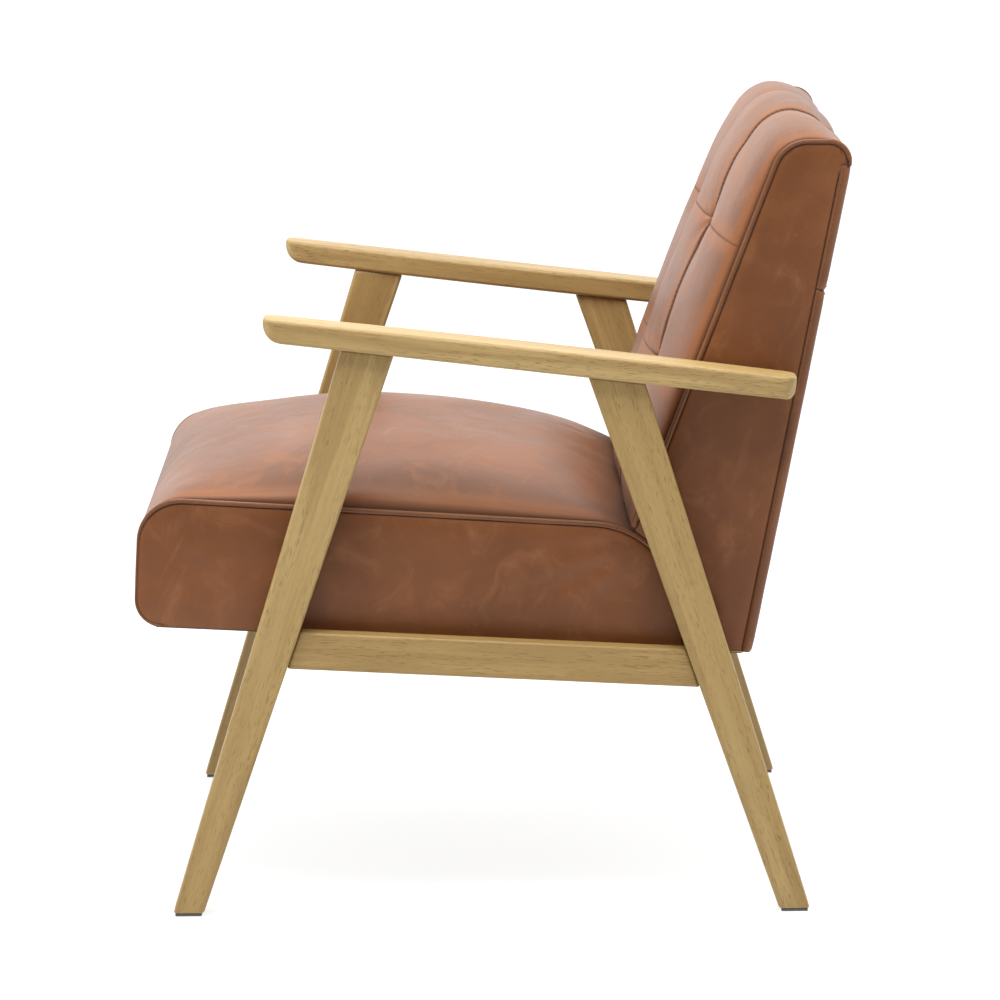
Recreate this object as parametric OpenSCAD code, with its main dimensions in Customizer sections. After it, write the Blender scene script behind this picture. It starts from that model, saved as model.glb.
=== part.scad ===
// Upholstered armchair: two wooden side frames joined by cross rails carry a
// leather seat box and a wedge-shaped, tufted back. The sitter faces -Y, +X is
// the sitter's left, +Z is up, and the origin is on the floor at mid depth.

/* [Legs] */
// Distance from the origin forward to the middle of the front feet
front_foot_y = 307; // [280:1:330]
// Distance from the origin back to the middle of the rear feet
rear_foot_y = 301; // [275:1:325]
// Lean of each leg from the vertical, in degrees
leg_lean = 18.2; // [16:0.1:20]
// Width of a leg where it meets the arm, measured level
leg_top_w = 53.5; // [46:0.5:60]
// Width of a leg at the floor, measured level
leg_foot_w = 30.5; // [26:0.5:38]
// Thickness of a leg across the chair
leg_t = 34; // [30:1:40]
// Clear gap between a leg and the side of the seat
leg_gap = 5; // [3:0.5:12]
// Thickness of the floor glide under each leg
glide_t = 3; // [2:0.5:6]
// How far a glide stays inside the edges of the foot
glide_inset = 2; // [1:0.5:4]

/* [Arms] */
// Height of the arm's top surface above the floor at the origin
arm_top_z = 577.4; // [560:1:600]
// Slope of the arm down towards the back, in degrees
arm_slope = 6.8; // [4:0.1:9]
// Thickness of an arm
arm_t = 23; // [20:0.5:30]
// Width of an arm at its middle
arm_mid_w = 52; // [48:1:58]
// Width of an arm at its ends
arm_end_w = 41; // [38:1:47]
// Distance from the origin forward to the arm's tip
arm_front = 222; // [205:1:245]
// Distance from the origin back to the arm's end
arm_rear = 301; // [280:1:320]
// How far the arm stands out past the outer face of the legs
arm_overhang = 11; // [4:1:16]
// Radius under the arm's nose
arm_nose_r = 21; // [12:1:22]
// Radius under the arm's rear end
arm_tail_r = 9; // [4:1:14]
// Radius of the arm's corners seen from above
arm_corner_r = 13; // [6:1:18]

/* [Side and cross rails] */
// Height of a side rail
rail_h = 38; // [32:1:46]
// Thickness of a side rail
rail_t = 22; // [18:1:26]
// How far the side rail sits back from the outer face of the legs
rail_setback = 8; // [3:1:11]
// How far the side rail stands up past the underside of the seat
rail_lip = 7.4; // [4:0.2:12]
// Width of a cross rail
cross_w = 42; // [36:1:50]
// Distance from the origin forward to the front cross rail
front_cross_u = 150; // [130:1:160]
// Distance from the origin back to the rear cross rail
rear_cross_u = 135; // [110:1:145]

/* [Seat] */
// Height of the seat's underside above the floor at the origin
deck_z = 270; // [250:1:290]
// Slope of the seat down towards the back, in degrees
deck_tilt = 3.1; // [1.5:0.1:4]
// Width of the seat and the back over their side panels
seat_w = 556; // [530:1:580]
// Distance from the origin forward to the front of the seat
seat_front_y = 357.8; // [335:0.1:375]
// Distance from the origin back to the rear of the seat
seat_rear_y = 190; // [180:1:196]
// Height of the seat's side panel at the front
seat_front_h = 131; // [122:1:140]
// Height of the seat's side panel at the rear
seat_rear_h = 125; // [118:1:132]
// Radius of the seat's upper front corner at the sides
seat_front_r = 44; // [34:1:48]
// Radius of the seat's upper rear corner at the sides
seat_rear_r = 95; // [80:1:100]
// Radius of the seat's lower front corner
seat_toe_r = 20; // [12:1:26]
// How far the middle of the seat crowns above its side panels
seat_crown = 56; // [40:1:62]
// Share of the seat's depth, from front to rear, at which the crown is highest
seat_crest = 0.45; // [0.4:0.01:0.5]
// How far the crown leans back for each millimetre that it rises
seat_lean = 0.4; // [0.2:0.05:0.5]
// Thickness of the leather with its lining
leather_t = 2; // [1.5:0.1:3]
// Width of the flat stitched welt along a seam
welt_w = 5; // [3:0.5:8]
// How far the welt stands off the panel
welt_t = 1.2; // [0.8:0.1:2]

/* [Seat frame] */
// Height of the seat frame's rails
seat_rail_h = 44; // [40:1:50]
// Thickness of the seat frame's rails
seat_rail_t = 24; // [20:1:28]
// Leg length of the seat frame's corner blocks
block_leg = 52; // [40:1:60]
// Number of webbing straps each way in the seat
seat_straps = 5; // [4:1:5]
// Width of a webbing strap
strap_w = 50; // [40:1:60]
// Thickness of a webbing strap
strap_t = 2; // [1.5:0.1:2.5]
// Thickness of the dust cover
dust_t = 0.6; // [0.4:0.1:1]

/* [Back] */
// Height of the back's top edge at its sides
back_top_z = 770; // [740:1:800]
// Distance from the origin back to where the back's face meets the seat
back_face_y = 133.7; // [125:0.1:142]
// Depth of the back from front to rear at its top
back_top_depth = 72.4; // [66:0.2:80]
// Distance from the origin back to the foot of the back's rear face
back_heel_y = 258.7; // [250:0.1:268]
// Lean of the back's rear face from the vertical, in degrees
back_rear_lean = 11.3; // [10:0.1:12]
// Radius of the back's upper front corner
back_front_r = 36; // [26:1:40]
// Radius of the back's upper rear corner
back_rear_r = 22; // [16:1:24]
// How far the middle of the back's face swells past its side panels
back_crown = 33; // [28:1:42]
// Depth of the upright tufted seams below the outer lobes
tuft_upright = 7.5; // [4:0.5:12]
// How much further the middle lobe swells than the outer lobes
tuft_middle = 4; // [2:0.5:6]
// Distance before the rear edge over which the upright seams run out
tuft_fade = 50; // [30:1:60]
// Share of the face's length from the seat up to the first tufted row
tuft_first_share = 0.3486; // [0.32:0.0001:0.38]
// Share of the face's length from the first tufted row to the second
tuft_pitch_share = 0.373; // [0.34:0.001:0.4]
// Depth of the level tufted seams between the lobes
tuft_level = 3; // [2:1:8]
// Extra depth where two tufted seams cross
tuft_pinch = 4; // [2:1:8]
// How far the outside back wraps forward onto the sides
wrap_d = 10; // [8:1:14]
// Radius of the outside back's upright edges
wrap_r = 8; // [4:0.5:8]
// Distance down the rear face from its top to the level seam across it
outside_seam_drop = 153; // [110:1:210]

/* [Back frame] */
// Thickness of the padding in front of the back frame
back_pad = 45; // [38:1:50]
// Thickness of the padding over the top of the back frame
top_pad = 38; // [30:1:44]
// Thickness of the wedge-shaped side boards in the back
board_t = 22; // [18:1:26]
// Thickness of the back frame's cross rails
back_rail_t = 24; // [20:1:28]
// Height of the back frame's cross rails
back_rail_h = 60; // [50:1:66]
// Room between the back's hidden parts and the seat tucked into it
tuck_gap = 10; // [8:1:14]
// Number of webbing straps across the back
back_straps = 5; // [4:1:5]

/* [Fasteners] */
// Diameter of the wooden dowels
dowel_d = 10; // [8:0.5:11]
// Depth of a dowel in the arm and in the side rail
dowel_shallow = 14; // [10:1:16]
// Depth of a dowel in the leg and in the cross rail
dowel_deep = 22; // [16:1:24]
// Distance between the two dowels of a joint
dowel_pitch = 18; // [15:1:20]
// Thread diameter of the bolts
bolt_d = 8; // [6:0.5:8]
// Diameter of the washers
washer_d = 22; // [18:1:24]
// Thickness of the washers
washer_t = 1.6; // [1.2:0.1:2]
// Diameter of a barrel nut
barrel_d = 13; // [12:0.5:14]
// Share of a seat rail's thickness that a barrel nut fills
barrel_share = 0.75; // [0.6:0.05:0.8]
// Diameter of the frame screws
screw_d = 4.5; // [4:0.5:5]
// Length of the frame screws in the rail
screw_bite = 40; // [30:1:45]
// Distance of a bolt between the seat and the back from the chair's middle
back_bolt_x = 160; // [120:1:180]
// Diameter of a glide's nail
glide_nail_d = 2.5; // [2:0.1:3]
// Length of a glide's nail
glide_nail_l = 16; // [12:1:20]
// Diameter of a tufting tie
tie_d = 2; // [1.5:0.1:2.5]
// Diameter of the toggle behind a tufting tie
toggle_d = 24; // [18:1:28]
// Thickness of a toggle
toggle_t = 2; // [1.5:0.1:3]
// Radial clearance of a bolt in its hole
bolt_fit = 0.5; // [0.3:0.1:0.8]
// Radial clearance of a dowel, screw or nail in its hole
snug_fit = 0.1; // [0.05:0.05:0.2]
// Gap between soft parts that lie on each other
soft_gap = 0.4; // [0.3:0.1:0.8]

/* [Hidden] */
$fn = 48;

oak = "#b08f5c";
leather = "#8a5434";
metal = "#8d9196";
pine = "#d9bf8f";
cloth = "#2b2b2c";
jute = "#a08a64";
foam = "#eadfb4";

far = 2000;                                    // longer than any piece
half_w = seat_w / 2;                           // outer face of the side panels
frame_half = half_w - leather_t;               // outer face of the hidden frames
leg_in = half_w + leg_gap;                     // inner face of the legs
leg_out = leg_in + leg_t;
leg_mid = (leg_in + leg_out) / 2;
arm_out = leg_out + arm_overhang;
rail_out = leg_out - rail_setback;
rail_in = rail_out - rail_t;
rail_mid = (rail_in + rail_out) / 2;
bolt_x = frame_half - seat_rail_t / 2;         // seat bolts run up the middle of the side rails
head_h = 0.65 * bolt_d;                        // hexagon head and nut, as usual for the thread
head_d = 1.85 * bolt_d;

// ---- plane geometry: points are [y, z] seen from the chair's side ----

function unit(v) = v / norm(v);
function along(p, angle, d) = p + d * [sin(angle), cos(angle)];

// Where the line through p and q meets the line through r and s
function meet(p, q, r, s) =
    let (a = q - p, b = s - r, c = r - p)
    p + a * (c.x * b.y - c.y * b.x) / (a.x * b.y - a.y * b.x);

// Points of the arc that rounds the corner b between a and c
function corner_arc(a, b, c, r, steps) =
    let (
        u = unit(a - b), v = unit(c - b), half = acos(u * v) / 2,
        centre = b + unit(u + v) * r / sin(half),
        first = b + u * r / tan(half) - centre, last = b + v * r / tan(half) - centre,
        from = atan2(first.y, first.x), raw = atan2(last.y, last.x) - from,
        turn = raw > 180 ? raw - 360 : raw < -180 ? raw + 360 : raw
    )
    [for (i = [0:steps]) centre + r * [cos(from + turn * i / steps), sin(from + turn * i / steps)]];

// A closed outline from corners [y, z, radius]
function rounded(c, steps = 8) =
    let (n = len(c))
    [for (i = [0:n - 1])
        let (a = c[(i + n - 1) % n], b = c[i], d = c[(i + 1) % n])
        each b[2] > 0 ? corner_arc([a.x, a.y], [b.x, b.y], [d.x, d.y], b[2], steps) : [[b.x, b.y]]];

// Points between a and b, in equal steps, without either end
function stretch(a, b, steps) = [for (i = [1:steps - 1]) a + (b - a) * i / steps];

// Outward direction at each point of a path that runs up the front and over the top
function normals(p) =
    [for (i = [0:len(p) - 1])
        let (t = unit(p[min(i + 1, len(p) - 1)] - p[max(i - 1, 0)])) [-t.y, t.x]];

// Distance along a path at each of its points
function distances(p) =
    [for (i = 0, d = 0; i < len(p); i = i + 1, d = d + (i < len(p) ? norm(p[i] - p[i - 1]) : 0)) d];

// Seat coordinates: u runs back along the sloping underside, w stands up from it
function to_deck(p) =
    let (y = p.x, z = p.y - deck_z)
    [y * cos(deck_tilt) - z * sin(deck_tilt), y * sin(deck_tilt) + z * cos(deck_tilt)];
function from_deck(p) =
    [p.x * cos(deck_tilt) + p.y * sin(deck_tilt), deck_z - p.x * sin(deck_tilt) + p.y * cos(deck_tilt)];

module along_x(from, to) {
    translate([from, 0, 0]) rotate([90, 0, 90]) linear_extrude(to - from) children();
}

module on_deck() {
    translate([0, 0, deck_z]) rotate([-deck_tilt, 0, 0]) children();
}

module mirror_right() {
    mirror([1, 0, 0]) children();
}

module both_sides() {
    children();
    mirror_right() children();
}

// A bar in seat coordinates
module deck_bar(x0, x1, u0, u1, w0, w1) {
    on_deck() translate([x0, u0, w0]) cube([x1 - x0, u1 - u0, w1 - w0]);
}

// ---- arms ----

// Arm coordinates: a runs back along the top surface, h stands up from it
function to_arm(p) =
    let (y = p.x, z = p.y - arm_top_z)
    [y * cos(arm_slope) - z * sin(arm_slope), y * sin(arm_slope) + z * cos(arm_slope)];
function from_arm(p) =
    [p.x * cos(arm_slope) + p.y * sin(arm_slope), arm_top_z - p.x * sin(arm_slope) + p.y * cos(arm_slope)];

arm_a0 = -arm_front / cos(arm_slope);
arm_a1 = arm_rear / cos(arm_slope);
arm_under = [from_arm([arm_a0, -arm_t]), from_arm([arm_a1, -arm_t])];
arm_soft_r = 3;                                // small radius along the arm's upper end edges

// Leg edges as pairs of points from the floor up
function leg_line(foot_y, lean, offset_foot, offset_top) =
    let (foot = [foot_y, 0], top = meet(foot, along(foot, lean, far), arm_under[0], arm_under[1]))
    [foot + [offset_foot, 0], top + [offset_top, 0]];
front_leg_axis = leg_line(-front_foot_y, leg_lean, 0, 0);
front_leg_fore = leg_line(-front_foot_y, leg_lean, -leg_foot_w / 2, -leg_top_w / 2);
front_leg_aft = leg_line(-front_foot_y, leg_lean, leg_foot_w / 2, leg_top_w / 2);
rear_leg_axis = leg_line(rear_foot_y, -leg_lean, 0, 0);
rear_leg_fore = leg_line(rear_foot_y, -leg_lean, -leg_foot_w / 2, -leg_top_w / 2);
rear_leg_aft = leg_line(rear_foot_y, -leg_lean, leg_foot_w / 2, leg_top_w / 2);

// The point of a leg edge at height z, or where it meets the arm's underside
function at_z(edge, z) = meet(edge[0], edge[1], [-far, z], [far, z]);
function at_arm(edge) = meet(edge[0], edge[1], arm_under[0], arm_under[1]);

arm_bow_steps = 16;
function arm_bow(t) = (arm_mid_w - arm_end_w) * (1 - t * t);

module arm_side_shape() {
    polygon(rounded([
        [arm_a0, 0, arm_soft_r], [arm_a1, 0, arm_soft_r],
        [arm_a1, -arm_t, arm_tail_r], [arm_a0, -arm_t, min(arm_nose_r, arm_t - arm_soft_r)]
    ]));
}

// Seen from above: straight outside, bowed inside, round corners
module arm_plan_shape() {
    inner = arm_out - arm_end_w;
    ends = rounded([
        [inner, arm_a0, arm_corner_r], [arm_out, arm_a0, arm_corner_r],
        [arm_out, arm_a1, arm_corner_r], [inner, arm_a1, arm_corner_r]
    ]);
    mid = (arm_a0 + arm_a1) / 2;
    reach = (arm_a1 - arm_a0) / 2 - arm_corner_r;
    polygon(ends);
    polygon(concat(
        [[arm_out - arm_end_w / 2, mid - reach], [arm_out - arm_end_w / 2, mid + reach]],
        [for (i = [arm_bow_steps:-1:-arm_bow_steps])
            let (t = i / arm_bow_steps) [inner - arm_bow(t), mid + reach * t]]
    ));
}

module in_arm_frame() {
    translate([0, 0, arm_top_z]) rotate([-arm_slope, 0, 0]) children();
}

// The dowels between the arm and the tops of the legs
module arm_dowel_pins(grow) {
    for (axis = [front_leg_axis, rear_leg_axis]) {
        top = to_arm(at_arm(axis));
        for (side = [-1, 1])
            in_arm_frame() translate([leg_mid, top.x + side * dowel_pitch / 2, -arm_t - dowel_deep - grow])
                cylinder(d = dowel_d + 2 * grow, h = dowel_deep + dowel_shallow + 2 * grow);
    }
}

module arm() {
    difference() {
        in_arm_frame() intersection() {
            along_x(0, far) arm_side_shape();
            translate([0, 0, -far / 2]) linear_extrude(far) arm_plan_shape();
        }
        arm_dowel_pins(snug_fit);
    }
}

module left_arm() { color(oak) arm(); }
module right_arm() { color(oak) mirror_right() arm(); }

// ---- rails ----

rail_w1 = rail_lip;
rail_w0 = rail_lip - rail_h;
rail_dowel_w = (rail_w0 + rail_w1) / 2;
cross_top = -dust_t;
cross_mid_w = (cross_top + rail_w0) / 2;

// Where a leg edge crosses a level of the seat's coordinates
function edge_at(edge, w) = meet(to_deck(edge[0]), to_deck(edge[1]), [-far, w], [far, w]);

module side_rail_dowel_pins(grow) {
    for (edge = [front_leg_aft, rear_leg_fore], side = [-1, 1]) {
        w = rail_dowel_w + side * dowel_pitch / 2;
        reach = dowel_shallow + grow;
        on_deck() translate([rail_mid, edge_at(edge, w).x, w]) rotate([-90, 0, 0])
            translate([0, 0, -reach]) cylinder(d = dowel_d + 2 * grow, h = 2 * reach);
    }
}

module cross_rail_dowel_pins(grow) {
    for (u = [-front_cross_u, rear_cross_u], side = [-1, 1])
        on_deck() translate([rail_in - dowel_deep - grow, u + side * dowel_pitch / 2, cross_mid_w])
            rotate([0, 90, 0]) cylinder(d = dowel_d + 2 * grow, h = dowel_deep + dowel_shallow + 2 * grow);
}

module side_rail() {
    difference() {
        along_x(rail_in, rail_out) polygon([
            from_deck(edge_at(front_leg_aft, rail_w0)), from_deck(edge_at(rear_leg_fore, rail_w0)),
            from_deck(edge_at(rear_leg_fore, rail_w1)), from_deck(edge_at(front_leg_aft, rail_w1))
        ]);
        side_rail_dowel_pins(snug_fit);
        cross_rail_dowel_pins(snug_fit);
    }
}

module left_side_rail() { color(oak) side_rail(); }
module right_side_rail() { color(oak) mirror_right() side_rail(); }

module cross_rail(u) {
    difference() {
        deck_bar(-rail_in, rail_in, u - cross_w / 2, u + cross_w / 2, rail_w0, cross_top);
        both_sides() cross_rail_dowel_pins(snug_fit);
        both_sides() seat_bolt_holes(bolt_fit);
    }
}

module front_cross_rail() { color(oak) cross_rail(-front_cross_u); }
module rear_cross_rail() { color(oak) cross_rail(rear_cross_u); }

// ---- legs and glides ----

module leg(fore, aft) {
    difference() {
        along_x(leg_in, leg_out) polygon([
            at_z(fore, glide_t), at_z(aft, glide_t), at_arm(aft), at_arm(fore)
        ]);
        arm_dowel_pins(snug_fit);
        side_rail_dowel_pins(snug_fit);
        glide_nail_pin(snug_fit);
    }
}

module left_front_leg() { color(oak) leg(front_leg_fore, front_leg_aft); }
module right_front_leg() { color(oak) mirror_right() leg(front_leg_fore, front_leg_aft); }
module left_rear_leg() { color(oak) leg(rear_leg_fore, rear_leg_aft); }
module right_rear_leg() { color(oak) mirror_right() leg(rear_leg_fore, rear_leg_aft); }

module arm_dowels() { color(pine) both_sides() arm_dowel_pins(0); }
module side_rail_dowels() { color(pine) both_sides() side_rail_dowel_pins(0); }
module cross_rail_dowels() { color(pine) both_sides() cross_rail_dowel_pins(0); }

module glide(fore, aft) {
    y0 = at_z(fore, glide_t).x + glide_inset;
    y1 = at_z(aft, glide_t).x - glide_inset;
    difference() {
        translate([leg_in + glide_inset, y0, 0]) cube([leg_t - 2 * glide_inset, y1 - y0, glide_t]);
        glide_nail_pin(snug_fit);
    }
}

module left_front_glide() { color("#55555a") glide(front_leg_fore, front_leg_aft); }
module right_front_glide() { color("#55555a") mirror_right() glide(front_leg_fore, front_leg_aft); }
module left_rear_glide() { color("#55555a") glide(rear_leg_fore, rear_leg_aft); }
module right_rear_glide() { color("#55555a") mirror_right() glide(rear_leg_fore, rear_leg_aft); }

// Nails run up from inside the glides into the legs
module glide_nail_pin(grow) {
    for (axis = [front_leg_axis, rear_leg_axis])
        translate([leg_mid, at_z(axis, glide_t).x, glide_t / 2 - grow])
            cylinder(d = glide_nail_d + 2 * grow, h = glide_nail_l + 2 * grow);
}

module glide_nails() { color(metal) both_sides() glide_nail_pin(0); }

// ---- seat outline and crown ----

arc_steps = 8;
seat_top_steps = 14;

// Side outline of the seat in seat coordinates, moved outwards by grow
function seat_corners(grow) = [
    [-seat_front_y - grow, -grow, seat_toe_r + grow],
    [-seat_front_y - grow, seat_front_h + grow, seat_front_r + grow],
    [seat_rear_y + grow, seat_rear_h + grow, seat_rear_r + grow],
    [seat_rear_y + grow, -grow, 0]
];
module seat_side_shape(grow = 0) {
    translate([0, deck_z]) rotate(-deck_tilt) polygon(rounded(seat_corners(grow), arc_steps));
}

foam_w0 = seat_rail_h + 2 * strap_t;           // the foam lies on two layers of webbing
seat_tack_w = foam_w0 + 2 * leather_t;         // height at the rear where the cover is tacked down

// The cover's path: round the toe, up the front, over the top and down the rear
seat_path =
    let (
        c = seat_corners(0), p = [for (k = c) [k.x, k.y]],
        toe = corner_arc(p[3], p[0], p[1], c[0][2], arc_steps),
        brow = corner_arc(p[0], p[1], p[2], c[1][2], arc_steps),
        tail = corner_arc(p[1], p[2], p[3], c[2][2], 2 * arc_steps)
    )
    concat(toe, brow, stretch(brow[arc_steps], tail[0], seat_top_steps),
        [for (q = tail) if (q.y > seat_tack_w) q]);
seat_normals = normals(seat_path);
seat_cols = 24;
seat_skew = ln(0.5) / ln(seat_crest);          // places the highest crown at seat_crest

// How much of the full crown is reached at a share t of the half width
function dome(t) = sqrt(max(0, 1 - pow(abs(t), 3)));
function seat_swell(u) = seat_crown * sin(180 * pow((u + seat_front_y) / (seat_front_y + seat_rear_y), seat_skew));

// Rows of points [x, u, w] over the crowned seat, moved inwards by inset
function seat_grid(half, inset) =
    [for (i = [0:len(seat_path) - 1])
        [for (j = [0:seat_cols])
            let (
                x = half * sin(180 * j / seat_cols - 90),
                rise = seat_swell(seat_path[i].x) * dome(x / frame_half),
                q = seat_path[i] + rise * [seat_lean, 1] - seat_normals[i] * inset
            )
            [x, q.x, q.y]]];

// ---- sheets and pillows from rows of points ----

function quad(a, b, c, d) = [[a, b, c], [a, c, d]];
function flat(rows) = [for (r = rows) each r];

// Faces over a grid of points; first is the index of its first point
function skin_faces(n, m, first, inner) =
    [for (i = [0:n - 2], j = [0:m - 2])
        let (a = first + i * m + j, b = a + m)
        each (inner ? quad(a, a + 1, b + 1, b) : quad(a, b, b + 1, a + 1))];

// A sheet between an outer and an inner grid of the same size
module sheet(outer, inner) {
    n = len(outer);
    m = len(outer[0]);
    k = n * m;
    polyhedron(
        points = concat(flat(outer), flat(inner)),
        faces = concat(
            skin_faces(n, m, 0, false),
            skin_faces(n, m, k, true),
            [for (j = [0:m - 2]) each quad(j, j + 1, k + j + 1, k + j)],
            [for (j = [0:m - 2]) let (a = k - m + j) each quad(a + 1, a, k + a, k + a + 1)],
            [for (i = [0:n - 2]) let (a = i * m) each quad(a + m, a, k + a, k + a + m)],
            [for (i = [0:n - 2]) let (a = i * m + m - 1) each quad(a, a + m, k + a + m, k + a)]
        )
    );
}

// A solid under one grid, closed straight from its last row to its first
module pillow(rows) {
    n = len(rows);
    m = len(rows[0]);
    polyhedron(
        points = flat(rows),
        faces = concat(
            skin_faces(n, m, 0, false),
            [for (j = [0:m - 2]) let (a = (n - 1) * m + j) each quad(a + 1, a, j, j + 1)],
            [[for (i = [n - 1:-1:0]) i * m]],
            [[for (i = [0:n - 1]) i * m + m - 1]]
        )
    );
}

// A band of the given width along the inner side of a path
module band(path, width) {
    n = normals(path);
    polygon(concat(path, [for (i = [len(path) - 1:-1:0]) path[i] - n[i] * width]));
}

// ---- seat frame ----

toe_pad = seat_toe_r + leather_t;              // padding in front of the front rail
rail_u0 = toe_pad - seat_front_y;
rail_u1 = seat_rear_y - leather_t - 2 * soft_gap;
inner_half = frame_half - seat_rail_t;

module seat_bolt_holes(grow) {
    for (u = [-front_cross_u, rear_cross_u])
        on_deck() translate([bolt_x, u, rail_w0 - grow])
            cylinder(d = bolt_d + 2 * grow, h = barrel_w + barrel_d / 2 + 2 * grow - rail_w0);
}

barrel_w = seat_rail_h / 2;
barrel_l = barrel_share * seat_rail_t;

module barrel_nut(grow) {
    for (u = [-front_cross_u, rear_cross_u])
        on_deck() translate([inner_half, u, barrel_w]) rotate([0, 90, 0])
            cylinder(d = barrel_d + 2 * grow, h = barrel_l + grow);
}

module seat_side_rail() {
    difference() {
        deck_bar(inner_half, frame_half, rail_u0, rail_u1, 0, seat_rail_h);
        seat_bolt_holes(bolt_fit);
        barrel_nut(snug_fit);
    }
}

module seat_left_rail() { color(pine) seat_side_rail(); }
module seat_right_rail() { color(pine) mirror_right() seat_side_rail(); }
module seat_front_rail() {
    color(pine) deck_bar(-inner_half, inner_half, rail_u0, rail_u0 + seat_rail_t, 0, seat_rail_h);
}
module seat_rear_rail() {
    color(pine) difference() {
        deck_bar(-inner_half, inner_half, rail_u1 - seat_rail_t, rail_u1, 0, seat_rail_h);
        both_sides() back_bolt_hole(bolt_fit);
    }
}

module seat_corner_blocks() {
    u0 = rail_u0 + seat_rail_t;
    u1 = rail_u1 - seat_rail_t;
    color(pine) both_sides() on_deck() {
        linear_extrude(seat_rail_h)
            polygon([[inner_half, u0], [inner_half - block_leg, u0], [inner_half, u0 + block_leg]]);
        linear_extrude(seat_rail_h)
            polygon([[inner_half, u1], [inner_half - block_leg, u1], [inner_half, u1 - block_leg]]);
    }
}

module seat_bolts() {
    color(metal) both_sides() {
        seat_bolt_holes(0);
        for (u = [-front_cross_u, rear_cross_u])
            on_deck() translate([bolt_x, u, rail_w0 - washer_t - head_h]) {
                cylinder(d = head_d, h = head_h, $fn = 6);
                cylinder(d = bolt_d, h = head_h + washer_t);
            }
    }
}

module seat_bolt_washers() {
    color(metal) both_sides() for (u = [-front_cross_u, rear_cross_u])
        on_deck() translate([bolt_x, u, rail_w0 - washer_t]) difference() {
            cylinder(d = washer_d, h = washer_t);
            translate([0, 0, -washer_t]) cylinder(d = bolt_d + 2 * snug_fit, h = 3 * washer_t);
        }
}

module seat_barrel_nuts() {
    color(metal) both_sides() difference() {
        barrel_nut(0);
        seat_bolt_holes(snug_fit);
    }
}

// ---- seat webbing, foam and covers ----

module seat_long_webbing() {
    pitch = 2 * inner_half / seat_straps;
    color(jute) for (k = [0:seat_straps - 1]) {
        x = (k - (seat_straps - 1) / 2) * pitch;
        deck_bar(x - strap_w / 2, x + strap_w / 2, rail_u0, rail_u1, seat_rail_h, seat_rail_h + strap_t);
    }
}

module seat_cross_webbing() {
    pitch = (rail_u1 - rail_u0) / seat_straps;
    color(jute) for (k = [0:seat_straps - 1]) {
        u = rail_u0 + (k + 0.5) * pitch;
        deck_bar(-frame_half, frame_half, u - strap_w / 2, u + strap_w / 2, seat_rail_h + strap_t, foam_w0);
    }
}

module seat_foam() {
    color(foam) difference() {
        on_deck() pillow(seat_grid(frame_half - soft_gap, leather_t + soft_gap));
        deck_bar(-far, far, rail_u0 - soft_gap, far, -far, foam_w0);
    }
}

module seat_top_cover() {
    color(leather) on_deck() sheet(seat_grid(frame_half, 0), seat_grid(frame_half, leather_t));
}

module seat_panel() { along_x(frame_half, half_w) seat_side_shape(); }
module seat_left_panel() { color(leather) seat_panel(); }
module seat_right_panel() { color(leather) mirror_right() seat_panel(); }

module seat_welt() {
    along_x(half_w, half_w + welt_t) band([for (q = seat_path) from_deck(q)], welt_w);
}
module seat_left_welt() { color(leather) seat_welt(); }
module seat_right_welt() { color(leather) mirror_right() seat_welt(); }

module seat_dust_cover() {
    color(cloth) difference() {
        deck_bar(-frame_half, frame_half, rail_u0, rail_u1, -dust_t, 0);
        both_sides() seat_bolt_holes(bolt_fit);
    }
}

// The room that the seat takes up, which the back is cut around
module seat_space() {
    along_x(-half_w - soft_gap, half_w + soft_gap) seat_side_shape(soft_gap);
    on_deck() pillow(seat_grid(frame_half, -soft_gap));
}

// ---- back outline ----

crease = from_deck([back_face_y, seat_rear_h]);
rear_foot = from_deck([back_heel_y, 0]);
top_line = [[-far, back_top_z], [far, back_top_z]];
rear_top = meet(rear_foot, along(rear_foot, back_rear_lean, far), top_line[0], top_line[1]);
front_top = rear_top - [back_top_depth, 0];
back_front_lean = atan2(front_top.x - crease.x, front_top.y - crease.y);
front_low = along(front_top, back_front_lean, -far);
rear_low = along(rear_top, back_rear_lean, -far);
deck_line = [from_deck([-far, 0]), from_deck([far, 0])];

// Corners of the back seen from the side, with each face moved in by its own distance
function back_corners(front_in, top_in, rear_in, front_r, rear_r) =
    let (
        fs = front_in * [cos(back_front_lean), -sin(back_front_lean)],
        rs = rear_in * [-cos(back_rear_lean), sin(back_rear_lean)],
        t0 = [-far, back_top_z - top_in], t1 = [far, back_top_z - top_in],
        a = meet(front_top + fs, front_low + fs, t0, t1), b = meet(rear_top + rs, rear_low + rs, t0, t1),
        c = meet(rear_top + rs, rear_low + rs, deck_line[0], deck_line[1]),
        d = meet(front_top + fs, front_low + fs, deck_line[0], deck_line[1])
    )
    [[a.x, a.y, front_r], [b.x, b.y, rear_r], [c.x, c.y, 0], [d.x, d.y, 0]];

// Points of the back's path over its upper corners
brow_arc = corner_arc(front_low, front_top, rear_top, back_front_r, arc_steps);
nape_arc = corner_arc(front_top, rear_top, rear_low, back_rear_r, arc_steps);
nape_end = nape_arc[arc_steps];

// Coordinates on the rear face: y points backwards, z up the face from its upper corner
module on_rear_face() {
    translate([0, rear_top.x, rear_top.y]) rotate([-back_rear_lean, 0, 0]) children();
}
// Coordinates on the front face: y points backwards, z up the face from its upper corner
module on_front_face() {
    translate([0, front_top.x, front_top.y]) rotate([-back_front_lean, 0, 0]) children();
}

rear_len = norm(rear_top - rear_foot);
wrap_top = -norm(rear_top - nape_end);         // upper end of the outside back on the rear face

// ---- tufted inside back ----

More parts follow.
